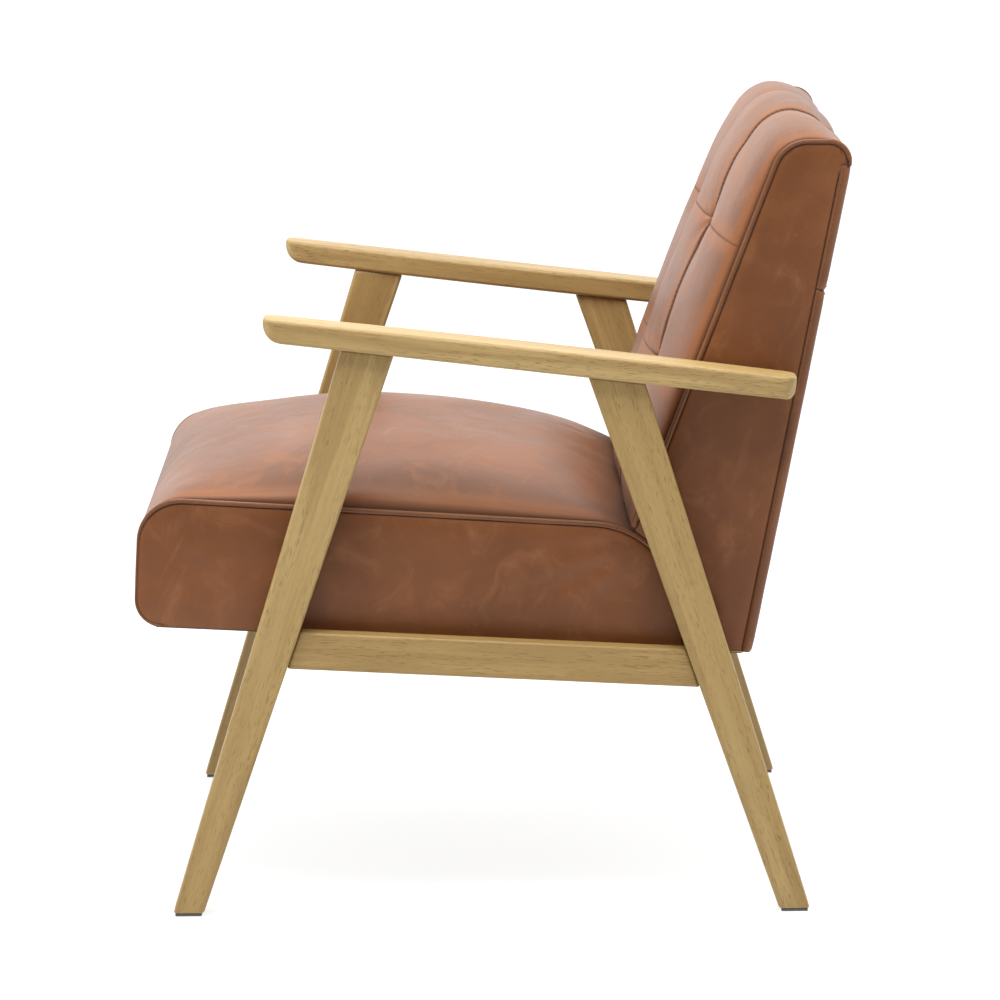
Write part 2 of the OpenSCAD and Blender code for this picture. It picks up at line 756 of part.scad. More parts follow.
face_len = norm(front_top - crease);
tuft_first = tuft_first_share * face_len;
tuft_pitch = tuft_pitch_share * face_len;
tuck_start = meet(front_top, front_low, from_deck([-far, barrel_w]), from_deck([far, barrel_w]));
row_one = along(crease, back_front_lean, tuft_first);
row_two = along(crease, back_front_lean, tuft_first + tuft_pitch);

tuck_steps = 4;
row_steps = 11;
crown_steps = 5;
top_steps = 3;
back_path = concat(
    [tuck_start], stretch(tuck_start, crease, tuck_steps),
    [crease], stretch(crease, row_one, row_steps),
    [row_one], stretch(row_one, row_two, row_steps),
    [row_two], stretch(row_two, brow_arc[0], crown_steps),
    brow_arc, stretch(brow_arc[arc_steps], nape_arc[0], top_steps), nape_arc
);
back_normals = normals(back_path);
back_reach = distances(back_path);
back_cols = 30;                                // ten to a lobe, so that seams fall on columns
lobes = 3;
crease_s = norm(crease - tuck_start);
row_s = [crease_s + tuft_first, crease_s + tuft_first + tuft_pitch];

// The swell follows part of a half wave from the seat to the upper rear edge, filled out by a power
swell_from = 0.15;
swell_span = 0.80;
swell_power = 0.38;
swell_turn = 0.80;                             // share of the way up at which the swell begins to close
swell_close = 0.93;                            // share at which it has closed, over the upper rear corner
function back_swell(s) =
    let (
        t = max(0, (s - crease_s) / (back_reach[len(back_reach) - 1] - crease_s)),
        turned = min(1, max(0, (t - swell_turn) / (swell_close - swell_turn)))
    )
    back_crown * pow(max(0, sin(180 * (swell_from + swell_span * t))), swell_power) * sqrt(1 - turned * turned);

// How much of the back's swell is reached at a share t of the half width
back_dome_power = 4.5;
function back_dome(t) = sqrt(max(0, 1 - pow(abs(t), back_dome_power)));

// How far a lobe has filled out at a share t of the way from a seam to its middle: quickly or softly
function fill_out(t) = sqrt(sin(90 * min(1, t)));
function fill_soft(t) = let (k = min(1, t)) k + k * k - k * k * k;

// Depth of the seams at x and s; below 0 where the middle lobe stands higher
function groove(x, s) =
    let (
        lobe = 2 * frame_half / lobes,
        t = 2 * abs(abs(x) - lobe / 2) / lobe,
        middle = abs(x) < lobe / 2,
        across = middle ? fill_out(t) : fill_soft(t),
        open = min(1, (back_reach[len(back_reach) - 1] - s) / tuft_fade),
        up = fill_out(2 * min(abs(s - row_s[0]), abs(s - row_s[1])) / tuft_pitch)
    )
    tuft_upright * (1 - across) * open - (middle ? tuft_middle * across * open : 0)
    + tuft_level * (1 - up) + tuft_pinch * (1 - across) * (1 - up);

function back_point(i, x, inset) =
    let (
        s = back_reach[i],
        out = (back_swell(s) - groove(x, s)) * back_dome(x / frame_half) - inset,
        q = back_path[i] + back_normals[i] * out
    )
    [x, q.x, q.y];
function back_grid(half, inset) =
    [for (i = [0:len(back_path) - 1])
        [for (j = [0:back_cols]) back_point(i, half * (2 * j / back_cols - 1), inset)]];

module back_inside_cover() {
    color(leather) difference() {
        sheet(back_grid(frame_half, 0), back_grid(frame_half, leather_t));
        seat_space();
    }
}

// ---- back frame ----

module core_shape(grow) {
    polygon([for (c = back_corners(back_pad - grow, top_pad - grow, wrap_r - grow, 0, 0)) [c.x, c.y]]);
}

module board_shape() {
    difference() {
        core_shape(0);
        seat_side_shape(tuck_gap);
    }
}

module back_board() {
    difference() {
        along_x(frame_half - board_t, frame_half) board_shape();
        back_screw_pins(snug_fit);
    }
}
module back_left_board() { color(pine) back_board(); }
module back_right_board() { color(pine) mirror_right() back_board(); }

board_in = frame_half - board_t;
top_rail_z = -top_pad - back_rail_h - board_t / 2;
middle_rail_z = -(rear_len - wrap_top) / 2;

module rear_bar(z) {
    difference() {
        on_rear_face() translate([-board_in, -wrap_r - back_rail_t, z]) cube([2 * board_in, back_rail_t, back_rail_h]);
        both_sides() back_screw_pins(snug_fit);
    }
}
module back_top_rail() { color(pine) rear_bar(top_rail_z); }
module back_middle_rail() { color(pine) rear_bar(middle_rail_z); }
module back_bottom_rail() {
    color(pine) difference() {
        deck_bar(-board_in, board_in, rail_u1, rail_u1 + back_rail_t, 0, seat_rail_h);
        both_sides() back_bolt_hole(bolt_fit);
        both_sides() back_screw_pins(snug_fit);
    }
}

// Screws run through the boards into the ends of the rails
screw_shares = [0.25, 0.75];                   // places of the two screws across the end of a rail
heel_screw_share = 0.6;                        // keeps the lowest screws inside the boards
module back_screw_pins(grow) {
    reach = board_t + screw_bite;
    for (z = [top_rail_z, middle_rail_z], k = screw_shares)
        on_rear_face() translate([frame_half - reach - grow, -wrap_r - back_rail_t / 2, z + k * back_rail_h])
            rotate([0, 90, 0]) cylinder(d = screw_d + 2 * grow, h = reach + grow);
    for (k = screw_shares)
        on_deck() translate([frame_half - reach - grow, rail_u1 + back_rail_t * heel_screw_share, k * seat_rail_h])
            rotate([0, 90, 0]) cylinder(d = screw_d + 2 * grow, h = reach + grow);
}
module back_frame_screws() { color(metal) both_sides() back_screw_pins(0); }

// Straps across the front edges of the boards
module back_webbing() {
    span = norm(front_top - crease) - top_pad;
    pitch = span / back_straps;
    color(jute) difference() {
        for (k = [0:back_straps - 1])
            on_front_face() translate([-frame_half, back_pad - strap_t, -top_pad - (k + 0.5) * pitch - strap_w / 2])
                cube([2 * frame_half, strap_t, strap_w]);
        both_sides() tie_pins(bolt_fit);
    }
}

// ---- tufting ties, foam and covers ----

// Ties pull the crossings of the seams back to toggles behind the webbing
module tie_pins(grow) {
    for (row = [row_one, row_two])
        on_front_face() translate([frame_half / lobes, 0, -norm(front_top - row)]) rotate([-90, 0, 0])
            cylinder(d = tie_d + 2 * grow, h = back_pad + toggle_t, $fn = 12);
}
module back_tufting_ties() {
    color(jute) both_sides() {
        tie_pins(0);
        for (row = [row_one, row_two])
            on_front_face() translate([frame_half / lobes, back_pad, -norm(front_top - row)])
                rotate([-90, 0, 0]) cylinder(d = toggle_d, h = toggle_t);
    }
}

foam_row = tuck_steps + 3;                     // the foam starts a few rows above the seat

module back_foam() {
    outer = back_grid(frame_half - soft_gap, leather_t + soft_gap);
    heel = back_corners(0, 0, leather_t + soft_gap, 0, 0)[2];
    closing = [for (j = [0:back_cols]) [outer[0][j].x, heel.x, heel.y]];
    color(foam) difference() {
        pillow(concat([for (i = [foam_row:len(outer) - 1]) outer[i]], [closing]));
        along_x(-far, far) core_shape(strap_t);
        both_sides() tie_pins(bolt_fit);
    }
}

module back_side_shape() {
    strip_top = nape_end;
    strip_dir = [cos(back_rear_lean), -sin(back_rear_lean)];
    difference() {
        polygon(rounded(back_corners(0, 0, 0, back_front_r, back_rear_r), arc_steps));
        polygon([
            strip_top - strip_dir * wrap_d, strip_top + strip_dir * wrap_d,
            rear_low + strip_dir * wrap_d, rear_low - strip_dir * wrap_d
        ]);
        seat_side_shape(soft_gap);
    }
}
module back_panel() { along_x(frame_half, half_w) back_side_shape(); }
module back_left_panel() { color(leather) back_panel(); }
module back_right_panel() { color(leather) mirror_right() back_panel(); }

// The welt follows the front and top edges, from the seat to the upper rear corner
module back_welt() {
    along_x(half_w, half_w + welt_t) difference() {
        band([for (q = back_path) q], welt_w);
        seat_side_shape(soft_gap + welt_w);
    }
}
module back_left_welt() { color(leather) back_welt(); }
module back_right_welt() { color(leather) mirror_right() back_welt(); }

// A shallow channel that wraps the rear edges, between two heights on the rear face
module outside_back(z0, z1) {
    on_rear_face() translate([0, 0, z0]) linear_extrude(z1 - z0) difference() {
        polygon(rounded([[-half_w, -wrap_d, 0], [-half_w, 0, wrap_r], [half_w, 0, wrap_r], [half_w, -wrap_d, 0]]));
        polygon(rounded([
            [-frame_half, -wrap_d - leather_t, 0], [-frame_half, -leather_t, wrap_r - leather_t],
            [frame_half, -leather_t, wrap_r - leather_t], [frame_half, -wrap_d - leather_t, 0]
        ]));
    }
}
module outside_back_upper() { color(leather) outside_back(-outside_seam_drop, wrap_top); }
module outside_back_lower() { color(leather) outside_back(-rear_len, -outside_seam_drop); }

module back_bottom_cloth() {
    color(cloth) deck_bar(-frame_half, frame_half, seat_rear_y, to_deck(rear_foot).x - wrap_d, -dust_t, 0);
}

// ---- bolts between the seat and the back ----

module back_bolt_hole(grow) {
    on_deck() translate([back_bolt_x, rail_u1 - seat_rail_t - head_h - grow, barrel_w]) rotate([-90, 0, 0])
        cylinder(d = bolt_d + 2 * grow, h = seat_rail_t + back_rail_t + head_h + washer_t + 2 * grow);
}
module back_bolts() {
    color(metal) both_sides() {
        back_bolt_hole(0);
        on_deck() translate([back_bolt_x, rail_u1 + back_rail_t + washer_t, barrel_w])
            rotate([-90, 0, 0]) cylinder(d = head_d, h = head_h, $fn = 6);
    }
}
module back_bolt_washers() {
    color(metal) both_sides() on_deck() translate([back_bolt_x, rail_u1 + back_rail_t, barrel_w])
        rotate([-90, 0, 0]) difference() {
            cylinder(d = washer_d, h = washer_t);
            translate([0, 0, -washer_t]) cylinder(d = bolt_d + 2 * snug_fit, h = 3 * washer_t);
        }
}
module back_nuts() {
    color(metal) both_sides() on_deck() translate([back_bolt_x, rail_u1 - seat_rail_t - head_h, barrel_w])
        rotate([-90, 0, 0]) difference() {
            cylinder(d = head_d, h = head_h, $fn = 6);
            translate([0, 0, -head_h]) cylinder(d = bolt_d + 2 * snug_fit, h = 3 * head_h);
        }
}

left_front_leg();
right_front_leg();
left_rear_leg();
right_rear_leg();
left_arm();
right_arm();
left_side_rail();
right_side_rail();
front_cross_rail();
rear_cross_rail();
arm_dowels();
side_rail_dowels();
cross_rail_dowels();
left_front_glide();
right_front_glide();
left_rear_glide();
right_rear_glide();
glide_nails();
seat_bolts();
seat_bolt_washers();
seat_barrel_nuts();
seat_front_rail();
seat_rear_rail();
seat_left_rail();
seat_right_rail();
seat_corner_blocks();
seat_long_webbing();
seat_cross_webbing();
seat_foam();
seat_top_cover();
seat_left_panel();
seat_right_panel();
seat_left_welt();
seat_right_welt();
seat_dust_cover();
back_left_board();
back_right_board();
back_top_rail();
back_middle_rail();
back_bottom_rail();
back_frame_screws();
back_webbing();
back_foam();
back_tufting_ties();
back_inside_cover();
back_left_panel();
back_right_panel();
back_left_welt();
back_right_welt();
outside_back_upper();
outside_back_lower();
back_bottom_cloth();
back_bolts();
back_bolt_washers();
back_nuts();
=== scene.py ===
"""Looks for the upholstered armchair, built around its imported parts. All sizes are in metres."""
import math

import bmesh
import bpy
import numpy as np
from mathutils import Matrix, Vector, noise
from mathutils.bvhtree import BVHTree


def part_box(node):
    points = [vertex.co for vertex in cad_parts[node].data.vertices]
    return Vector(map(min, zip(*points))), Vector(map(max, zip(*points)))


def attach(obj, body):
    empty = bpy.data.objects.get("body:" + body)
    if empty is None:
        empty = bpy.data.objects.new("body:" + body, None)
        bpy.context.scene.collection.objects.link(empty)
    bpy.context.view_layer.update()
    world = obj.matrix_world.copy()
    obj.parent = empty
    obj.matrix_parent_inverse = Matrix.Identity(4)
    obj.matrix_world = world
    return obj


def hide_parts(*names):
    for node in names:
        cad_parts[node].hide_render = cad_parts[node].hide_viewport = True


bl_info = {
    "name": "Upholstered armchair",
    "version": (1, 0, 0),
    "blender": (4, 5, 0),
    "location": "3D View > Sidebar > Armchair",
    "description": "Dresses a wooden armchair with tufted leather, stitches and oak",
    "category": "Object",
}

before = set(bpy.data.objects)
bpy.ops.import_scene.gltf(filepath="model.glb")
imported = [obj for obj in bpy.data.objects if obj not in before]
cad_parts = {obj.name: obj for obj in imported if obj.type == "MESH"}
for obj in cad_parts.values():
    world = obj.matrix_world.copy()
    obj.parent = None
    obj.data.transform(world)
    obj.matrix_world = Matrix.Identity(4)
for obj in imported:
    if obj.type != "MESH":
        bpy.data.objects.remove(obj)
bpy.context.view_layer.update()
PANEL_LO, PANEL_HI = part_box("seat_left_panel")
HALF_W = PANEL_HI.x                      # outer face of the side panels
FRAME_HALF = PANEL_LO.x                  # inner face of the side panels
LEATHER_T = HALF_W - FRAME_HALF
PLAY = 0.0002                            # play between two pieces of leather
LOBE = 2 * FRAME_HALF / 3                # width of one lobe of the back
SIDES = (("left", 1), ("right", -1))


# ---------------------------------------------------------------- sizes and colours

def share(name, default, description, low=0.0, high=3.0, **kind):
    return bpy.props.FloatProperty(name=name, default=default, description=description,
                                   min=low, max=high, precision=4, **kind)


def length(*values):
    return share(*values, unit="LENGTH")


def angle(name, degrees, description):
    return share(name, math.radians(degrees), description, -1.6, 1.6, subtype="ANGLE")


def colour(name, default, description):
    return bpy.props.FloatVectorProperty(name=name, default=default, description=description,
                                         size=3, min=0.0, max=1.0, subtype="COLOR")


class SeatSizes(bpy.types.PropertyGroup):
    deck_height: length("Deck height", 0.270, "Height of the seat's underside at mid depth")
    deck_tilt: angle("Deck slope", 3.1, "Slope of the seat down towards the back")
    front: length("Front", 0.3578, "Distance forward to the front of the seat")
    rear: length("Rear", 0.190, "Distance back to the rear of the seat")
    front_height: length("Front height", 0.131, "Height of the side panel at the front")
    rear_height: length("Rear height", 0.125, "Height of the side panel at the rear")
    brow_radius: length("Brow radius", 0.044, "Radius of the upper front corner")
    tail_radius: length("Tail radius", 0.095, "Radius of the upper rear corner")
    toe_radius: length("Toe radius", 0.028, "Radius of the lower front corner")
    crown: length("Crown", 0.056, "How far the middle rises over the sides")
    crest: share("Crest", 0.45, "Share of the depth at which the crown is highest")
    lean: share("Lean", 0.4, "How far the crown leans back as it rises")
    tuck: share("Tuck", 0.78, "Share of the crown that is drawn down under the back")
    tuck_from: length("Tuck start", 0.066, "Distance back to where the crown begins to be drawn down")
    tuck_span: length("Tuck run", 0.085, "Distance over which the crown is drawn down")
    front_ease: share("Front ease", 0.10, "Share of the depth over which the crown eases in at the front")
    tack_height: length("Tack height", 0.052, "Height at the rear where the cover is tacked down")
    web_height: length("Webbing height", 0.048, "Top of the webbing that the filling lies on")
    toe_pad: length("Toe pad", 0.022, "Padding in front of the front rail")
    grid: length("Grid", 0.0075, "Spacing of the cushion's mesh before it is subdivided", 0.004, 0.03)
    swell_room: length("Swell room", 0.0022, "How much lower the cushion starts before it is inflated")
    panel_puff: length("Panel puff", 0.0026, "How far the side panels swell between their seams")


class BackSizes(bpy.types.PropertyGroup):
    top: length("Top", 0.770, "Height of the top edge at the sides")
    face: length("Face", 0.1337, "Distance back along the deck to where the face meets the seat")
    heel: length("Heel", 0.2587, "Distance back along the deck to the foot of the rear face")
    face_lean: angle("Face lean", 21.2, "Lean of the front face from the vertical")
    rear_lean: angle("Rear lean", 11.3, "Lean of the rear face from the vertical")
    front_radius: length("Front radius", 0.036, "Radius of the upper front corner")
    rear_radius: length("Rear radius", 0.022, "Radius of the upper rear corner")
    crown: length("Crown", 0.033, "How far the lobes swell past the side panels")
    swell_from: share("Swell start", 0.15, "Share of the swell's curve that lies below the seat")
    swell_span: share("Swell span", 0.80, "Share of the swell's curve that the lobes run over")
    upright_depth: length("Upright seam depth", 0.0075, "Depth of the upright seams below the outer lobes")
    middle_rise: length("Middle rise", 0.004, "How much further the middle lobe swells than the outer lobes")
    turn: share("Turn", 0.80, "Share of the way up at which the swell begins to close")
    close: share("Close", 0.93, "Share of the way up at which the swell has closed")
    brow_tuck: length("Brow tuck", 0.0055, "How far the lobes are drawn in over the upper front corner")
    level_depth: length("Level seam depth", 0.003, "Depth of the level seams")
    pinch_depth: length("Pinch depth", 0.004, "Extra depth where two seams cross")
    fade: length("Fade", 0.050, "Distance over which the upright seams run out at the rear")
    first_row: share("First row", 0.3486, "Share of the face's length up to the first level seam")
    row_pitch: share("Row pitch", 0.373, "Share of the face's length between the level seams")
    lip: length("Lip", 0.060, "Length over which the lobes round off above the seat")
    swell_room: length("Swell room", 0.0034, "How much lower the lobes start before they are inflated")
    core_front: length("Padding", 0.045, "Padding in front of the back frame")
    core_top: length("Top padding", 0.038, "Padding over the back frame")
    wrap: length("Wrap", 0.010, "How far the outside back wraps forward onto the sides")
    wrap_radius: length("Wrap radius", 0.008, "Radius of the outside back's upright edges")
    seam_drop: length("Seam drop", 0.153, "Distance from the top to the level seam across the rear")
    panel_puff: length("Panel puff", 0.0024, "How far the side panels swell between their seams")


class SewingSizes(bpy.types.PropertyGroup):
    pitch: length("Stitch pitch", 0.0055, "Distance from one stitch to the next", 0.002, 0.02)
    stitch: length("Stitch length", 0.0040, "Length of a stitch", 0.001, 0.02)
    thread: length("Thread", 0.0009, "Thickness of the thread", 0.0003, 0.003)
    beside: length("Beside the seam", 0.0026, "Distance from an upright seam to the stitches beside it")
    welt_width: length("Seam band", 0.0046, "Width of the sewn band along a side seam", 0.002, 0.01)
    staple_pitch: length("Staple pitch", 0.032, "Distance from one staple to the next", 0.01, 0.1)
    staple_crown: length("Staple crown", 0.010, "Length of a staple's crown", 0.004, 0.03)
    seed: bpy.props.IntProperty(name="Seed", default=7, description="Seed of the small unevenness")


class WoodSizes(bpy.types.PropertyGroup):
    edge: length("Edge radius", 0.0030, "Radius sanded along the edges of the legs and rails")
    arm_edge: length("Arm edge radius", 0.0038, "Radius along the edges of the arms")
    arm_thick: length("Arm thickness", 0.023, "Thickness of the arms")
    arm_end: length("Arm end width", 0.041, "Width of the arms at their ends")
    arm_middle: length("Arm middle width", 0.052, "Width of the arms at mid length")
    arm_corner: length("Arm corner radius", 0.013, "Radius of the arms' corners seen from above")
    nose_radius: length("Nose radius", 0.020, "Radius under the front end of the arms")
    tail_radius: length("Tail radius", 0.009, "Radius under the rear end of the arms")
    lip_radius: length("Lip radius", 0.003, "Radius over both ends of the arms")
    leg_lean: angle("Leg lean", 18.2, "Lean of the legs from the vertical")
    arm_slope: angle("Arm slope", 6.8, "Slope of the arms down towards the back")


class Colours(bpy.types.PropertyGroup):
    leather: colour("Leather", (0.184, 0.0595, 0.0135), "Main tone of the leather")
    leather_dark: colour("Dark leather", (0.108, 0.033, 0.007), "Tone where the leather is darker")
    # The rubbed tone is also laid as painted highlight along raised edges and on the crests of the bands.
    leather_light: colour("Rubbed leather", (0.300, 0.120, 0.046), "Tone where the leather is rubbed")
    leather_warm: colour("Warm leather", (0.240, 0.076, 0.014), "Tone in the hollows beside the seams")
    # The seam tone is the dark of the seam lines and also painted shade in the seam grooves and in the crease
    # between seat and back.
    leather_seam_and_shade: colour("Seam leather", (0.034, 0.012, 0.005), "Tone in the seams and the deepest creases")
    thread: colour("Thread", (0.075, 0.028, 0.012), "Thread of the seams")
    oak: colour("Oak", (0.372, 0.246, 0.086), "Main tone of the oak")
    oak_dark: colour("Dark oak", (0.270, 0.165, 0.054), "Tone of the darker growth")
    oak_light: colour("Pale oak", (0.450, 0.318, 0.130), "Tone of the paler growth")
    oak_pore: colour("Oak pores", (0.150, 0.086, 0.030), "Tone of the open pores")
    pine: colour("Pine", (0.620, 0.430, 0.210), "Tone of the hidden frame")
    cloth: colour("Dust cloth", (0.020, 0.020, 0.021), "Tone of the cloth under the seat")
    jute: colour("Webbing", (0.330, 0.240, 0.130), "Tone of the webbing and ties")
    steel: colour("Steel", (0.480, 0.490, 0.500), "Tone of the bolts, screws and staples")
    glide: colour("Glides", (0.105, 0.110, 0.118), "Tone of the glides under the legs")
    floor: colour("Floor", (0.300, 0.300, 0.300), "Tone of the floor")


# ---------------------------------------------------------------- shader helpers

def operation(kind, swapped=False):
    """A method that puts this value and another through one Math node."""
    def method(self, other):
        pair = (other, self) if swapped else (self, other)
        return self.finish.node("ShaderNodeMath", {"operation": kind}, dict(enumerate(pair)))
    return method


class Value:
    """A shader socket that can be used in Python expressions."""
    __add__, __radd__ = operation("ADD"), operation("ADD", True)
    __sub__, __rsub__ = operation("SUBTRACT"), operation("SUBTRACT", True)
    __mul__, __rmul__ = operation("MULTIPLY"), operation("MULTIPLY", True)
    most = operation("MAXIMUM")

    def __init__(self, finish, socket):
        self.finish, self.socket = finish, socket

    def ramp(self, low, high):
        """This value stretched from low..high to 0..1, eased and held at both ends."""
        return self.finish.node("ShaderNodeMapRange", {"interpolation_type": "SMOOTHSTEP"},
                                {0: self, 1: low, 2: high, 3: 0.0, 4: 1.0})


class Finish:
    """One material. Every node is added by node()."""

    def __init__(self, name, roughness=0.5, **constants):
        self.tones = bpy.context.scene.armchair_colours
        self.material = bpy.data.materials.new(name)
        self.material.use_nodes = True
        self.tree = self.material.node_tree
        self.tree.nodes.clear()
        output = self.tree.nodes.new("ShaderNodeOutputMaterial")
        self.shader = self.tree.nodes.new("ShaderNodeBsdfPrincipled")
        self.tree.links.new(self.shader.outputs[0], output.inputs["Surface"])
        for name, value in {"roughness": roughness, **constants}.items():
            self.shader.inputs[name.replace("_", " ").title().replace("Ior", "IOR")].default_value = value

    def node(self, kind, settings=None, inputs=None, output=0):
        made = self.tree.nodes.new(kind)
        for name, value in (settings or {}).items():
            setattr(made, name, value)
        for name, value in (inputs or {}).items():
            if isinstance(value, Value):
                self.tree.links.new(value.socket, made.inputs[name])
            else:
                made.inputs[name].default_value = value
        return Value(self, made.outputs[output])

    def place(self, rotation=(0, 0, 0), scale=(1, 1, 1)):
        """Object coordinates, turned and then stretched."""
        where = self.node("ShaderNodeTexCoord", output="Object")
        turned = self.node("ShaderNodeMapping", {}, {"Vector": where, "Rotation": rotation})
        return self.node("ShaderNodeMapping", {}, {"Vector": turned, "Scale": scale})

    def noise(self, vector, scale, detail=3.0, roughness=0.5, distortion=0.0):
        return self.node("ShaderNodeTexNoise", {}, {"Vector": vector, "Scale": scale, "Detail": detail,
                                                    "Roughness": roughness, "Distortion": distortion})

    def attribute(self, name):
        return self.node("ShaderNodeAttribute", {"attribute_name": name}, output="Fac")

    def layers(self, base, *over):
        """A colour with further tones laid over it, each by its own amount."""
        for amount, tone in over:
            base, tone = (v if isinstance(v, Value) else (*v, 1.0) for v in (base, tone))
            base = self.node("ShaderNodeMix", {"data_type": "RGBA"}, {0: amount, 6: base, 7: tone}, output=2)
        return base

    def bumps(self, *heights):
        """A normal from several heights, each with its distance and strength."""
        normal = None
        for height, distance, strength in heights:
            inputs = {"Height": height, "Distance": distance, "Strength": strength}
            normal = self.node("ShaderNodeBump", {}, {**inputs, "Normal": normal} if normal else inputs)
        return normal

    def set(self, **values):
        for name, value in values.items():
            self.tree.links.new(value.socket, self.shader.inputs[name.replace("_", " ").title()])
        return self.material


FINISHES = {}


def finish_of(name, maker, *values):
    """The material of that name, made once."""
    if name not in FINISHES:
        FINISHES[name] = maker(name, *values)
    return FINISHES[name]


def leather_finish(name):
    """Waxed pull-up leather: cloudy, rubbed pale in places with painted highlights on raised edges, darker in
    the seams with painted shade there and in the crease between seat and back, with a fine grain.
    """
    f = Finish(name, roughness=0.46, ior=1.46, specular_ior_level=0.5, coat_roughness=0.34,
               sheen_weight=0.015, sheen_roughness=0.45)
    tones, at = f.tones, f.place()
    clouds = f.noise(at, 6.5, 4.0, 0.55, 0.6)
    patches = f.noise(at, 21.0, 5.0, 0.62, 0.9)
    smears = f.noise(f.place((0.5, 0.25, 0.3), (1, 5, 1)), 13.0, 4.0, 0.6, 0.7)
    hollow, seam, rub = (f.attribute(name) for name in ("hollow", "seam", "rub"))
    # faint scratches in families, each along its own direction
    scratches = None
    for turn, stretch, edge in (((0.4, 0.1, 0.9), (1.5, 40, 40), 0.70),
                                ((1.2, 0.7, 0.2), (40, 1.6, 38), 0.705),
                                ((0.2, 1.3, 1.9), (36, 38, 1.8), 0.71)):
        family = f.noise(f.place(turn, stretch), 4.5, 1.0, 0.4, 0.15).ramp(edge, edge + 0.03)
        scratches = family if scratches is None else scratches.most(family)
    scratches = scratches * f.noise(at, 9.0, 2.0).ramp(0.5, 0.7)
    # Painted light laid into the colour: rub is rubbed wear with a painted highlight on raised edges and band
    # crests; seam is dark seam lines with painted shade in their grooves and in the crease between seat and
    # back.
    base = f.layers(tones.leather_dark,
                    (clouds.ramp(0.34, 0.66), tones.leather), (0.40, tones.leather),
                    (patches.ramp(0.48, 0.78) * 0.50, tones.leather_light),
                    (smears.ramp(0.56, 0.80) * 0.35, tones.leather_light),
                    (patches.ramp(0.52, 0.22) * 0.30, tones.leather_dark),
                    (hollow.ramp(0.10, 1.0) * 0.75, tones.leather_warm),
                    (rub.ramp(0.15, 1.0) * 0.55, tones.leather_light),
                    (scratches * 0.18, tones.leather_light), (seam * 0.88, tones.leather_seam_and_shade))
    grain = f.node("ShaderNodeTexVoronoi", {"feature": "SMOOTH_F1"},
                   {"Vector": at, "Scale": 620.0}).ramp(0.05, 0.62)
    creases = f.noise(at, 150.0, 4.0, 0.6, 0.9)
    softness = f.noise(at, 34.0, 3.0, 0.5, 0.4)
    normal = f.bumps((grain, 0.00007, 0.75), (creases, 0.00030, 0.55), (softness, 0.0011, 0.45))
    rough = 0.40 + patches.ramp(0.3, 0.8) * 0.12 + grain * 0.05 + hollow * 0.05 + seam * 0.25
    return f.set(base_color=base, roughness=rough, coat_weight=0.07 * clouds.ramp(0.3, 0.7), normal=normal)


def oak_finish(name, grain_to):
    """Oiled oak with its grain along one direction: growth bands, rays and short dark pores."""
    f = Finish(name, roughness=0.5, ior=1.45, specular_ior_level=0.55)
    tones = f.tones
    turn = tuple(Vector(grain_to).rotation_difference(Vector((0, 0, 1))).to_euler())
    across = f.place(turn, (1, 1, 0.055))
    slow = f.noise(across, 15.0, 3.0, 0.5, 0.5)
    clouds = f.noise(across, 38.0, 3.0, 0.6, 0.8)
    bands = f.node("ShaderNodeTexWave", {"wave_type": "BANDS", "bands_direction": "X", "wave_profile": "SIN"},
                   {"Vector": across, "Scale": 26.0, "Distortion": 9.0, "Detail": 2.5, "Detail Scale": 1.6,
                    "Detail Roughness": 0.6})
    fibre = f.noise(f.place(turn, (1, 1, 0.018)), 420.0, 3.0, 0.6)
    porous = f.noise(across, 60.0, 2.0, 0.5, 0.4).ramp(0.36, 0.62)
    pores = f.noise(f.place(turn, (1, 1, 0.10)), 950.0, 1.0, 0.4).ramp(0.59, 0.69) * (0.35 + 0.65 * porous)
    long_pores = f.noise(across, 620.0, 0.6, 0.4).ramp(0.67, 0.74) * porous
    dark = (pores * 0.56).most(long_pores * 0.40)
    base = f.layers(tones.oak, (slow.ramp(0.36, 0.64), tones.oak_light),
                    (clouds.ramp(0.45, 0.70) * 0.45, tones.oak_dark),
                    (bands.ramp(0.30, 0.95) * 0.50, tones.oak_dark),
                    (fibre.ramp(0.35, 0.75) * 0.30, tones.oak_dark), (dark, tones.oak_pore))
    normal = f.bumps((fibre, 0.00010, 0.5), (1 - dark, 0.00022, 0.8))
    return f.set(base_color=base, roughness=0.46 + 0.12 * fibre + 0.15 * dark, normal=normal)


def pine_finish(name):
    """Planed softwood of the hidden frame."""
    f = Finish(name, roughness=0.62)
    rings = f.node("ShaderNodeTexWave", {"wave_type": "RINGS", "rings_direction": "X"},
                   {"Vector": f.place((0, 0, 0), (0.25, 1, 1)), "Scale": 30.0, "Distortion": 3.0,
                    "Detail": 2.0})
    fibre = f.noise(f.place((0, 0, 0), (0.05, 1, 1)), 300.0)
    base = f.layers(f.tones.pine, (rings.ramp(0.4, 1.0) * 0.5, (0.42, 0.25, 0.10)),
                    (fibre.ramp(0.4, 0.7) * 0.25, (0.70, 0.53, 0.30)))
    return f.set(base_color=base, roughness=0.55 + 0.15 * fibre, normal=f.bumps((fibre, 0.0002, 0.6)))


def weave_height(f, pitch):
    """Threads over and under each other, about one pitch apart."""
    size = 1.0 / pitch / 3.18
    warp, weft = (f.node("ShaderNodeTexWave", {"bands_direction": way}, {"Vector": f.place(), "Scale": size})
                  for way in "XY")
    return warp.most(weft)


def dust_cloth_finish(name):
    """Black non-woven cloth under the seat, pressed with a fine grid."""
    f = Finish(name, roughness=0.9, sheen_weight=0.2, sheen_roughness=0.6)
    cloth = weave_height(f, 0.0016)
    lint = f.noise(f.place(), 260.0, 4.0, 0.6)
    base = f.layers((0.008, 0.008, 0.009), (cloth * 0.5, f.tones.cloth),
                    (lint.ramp(0.60, 0.75) * 0.5, (0.06, 0.06, 0.062)))
    return f.set(base_color=base, roughness=0.80 + 0.15 * lint, normal=f.bumps((cloth, 0.0003, 0.7)))


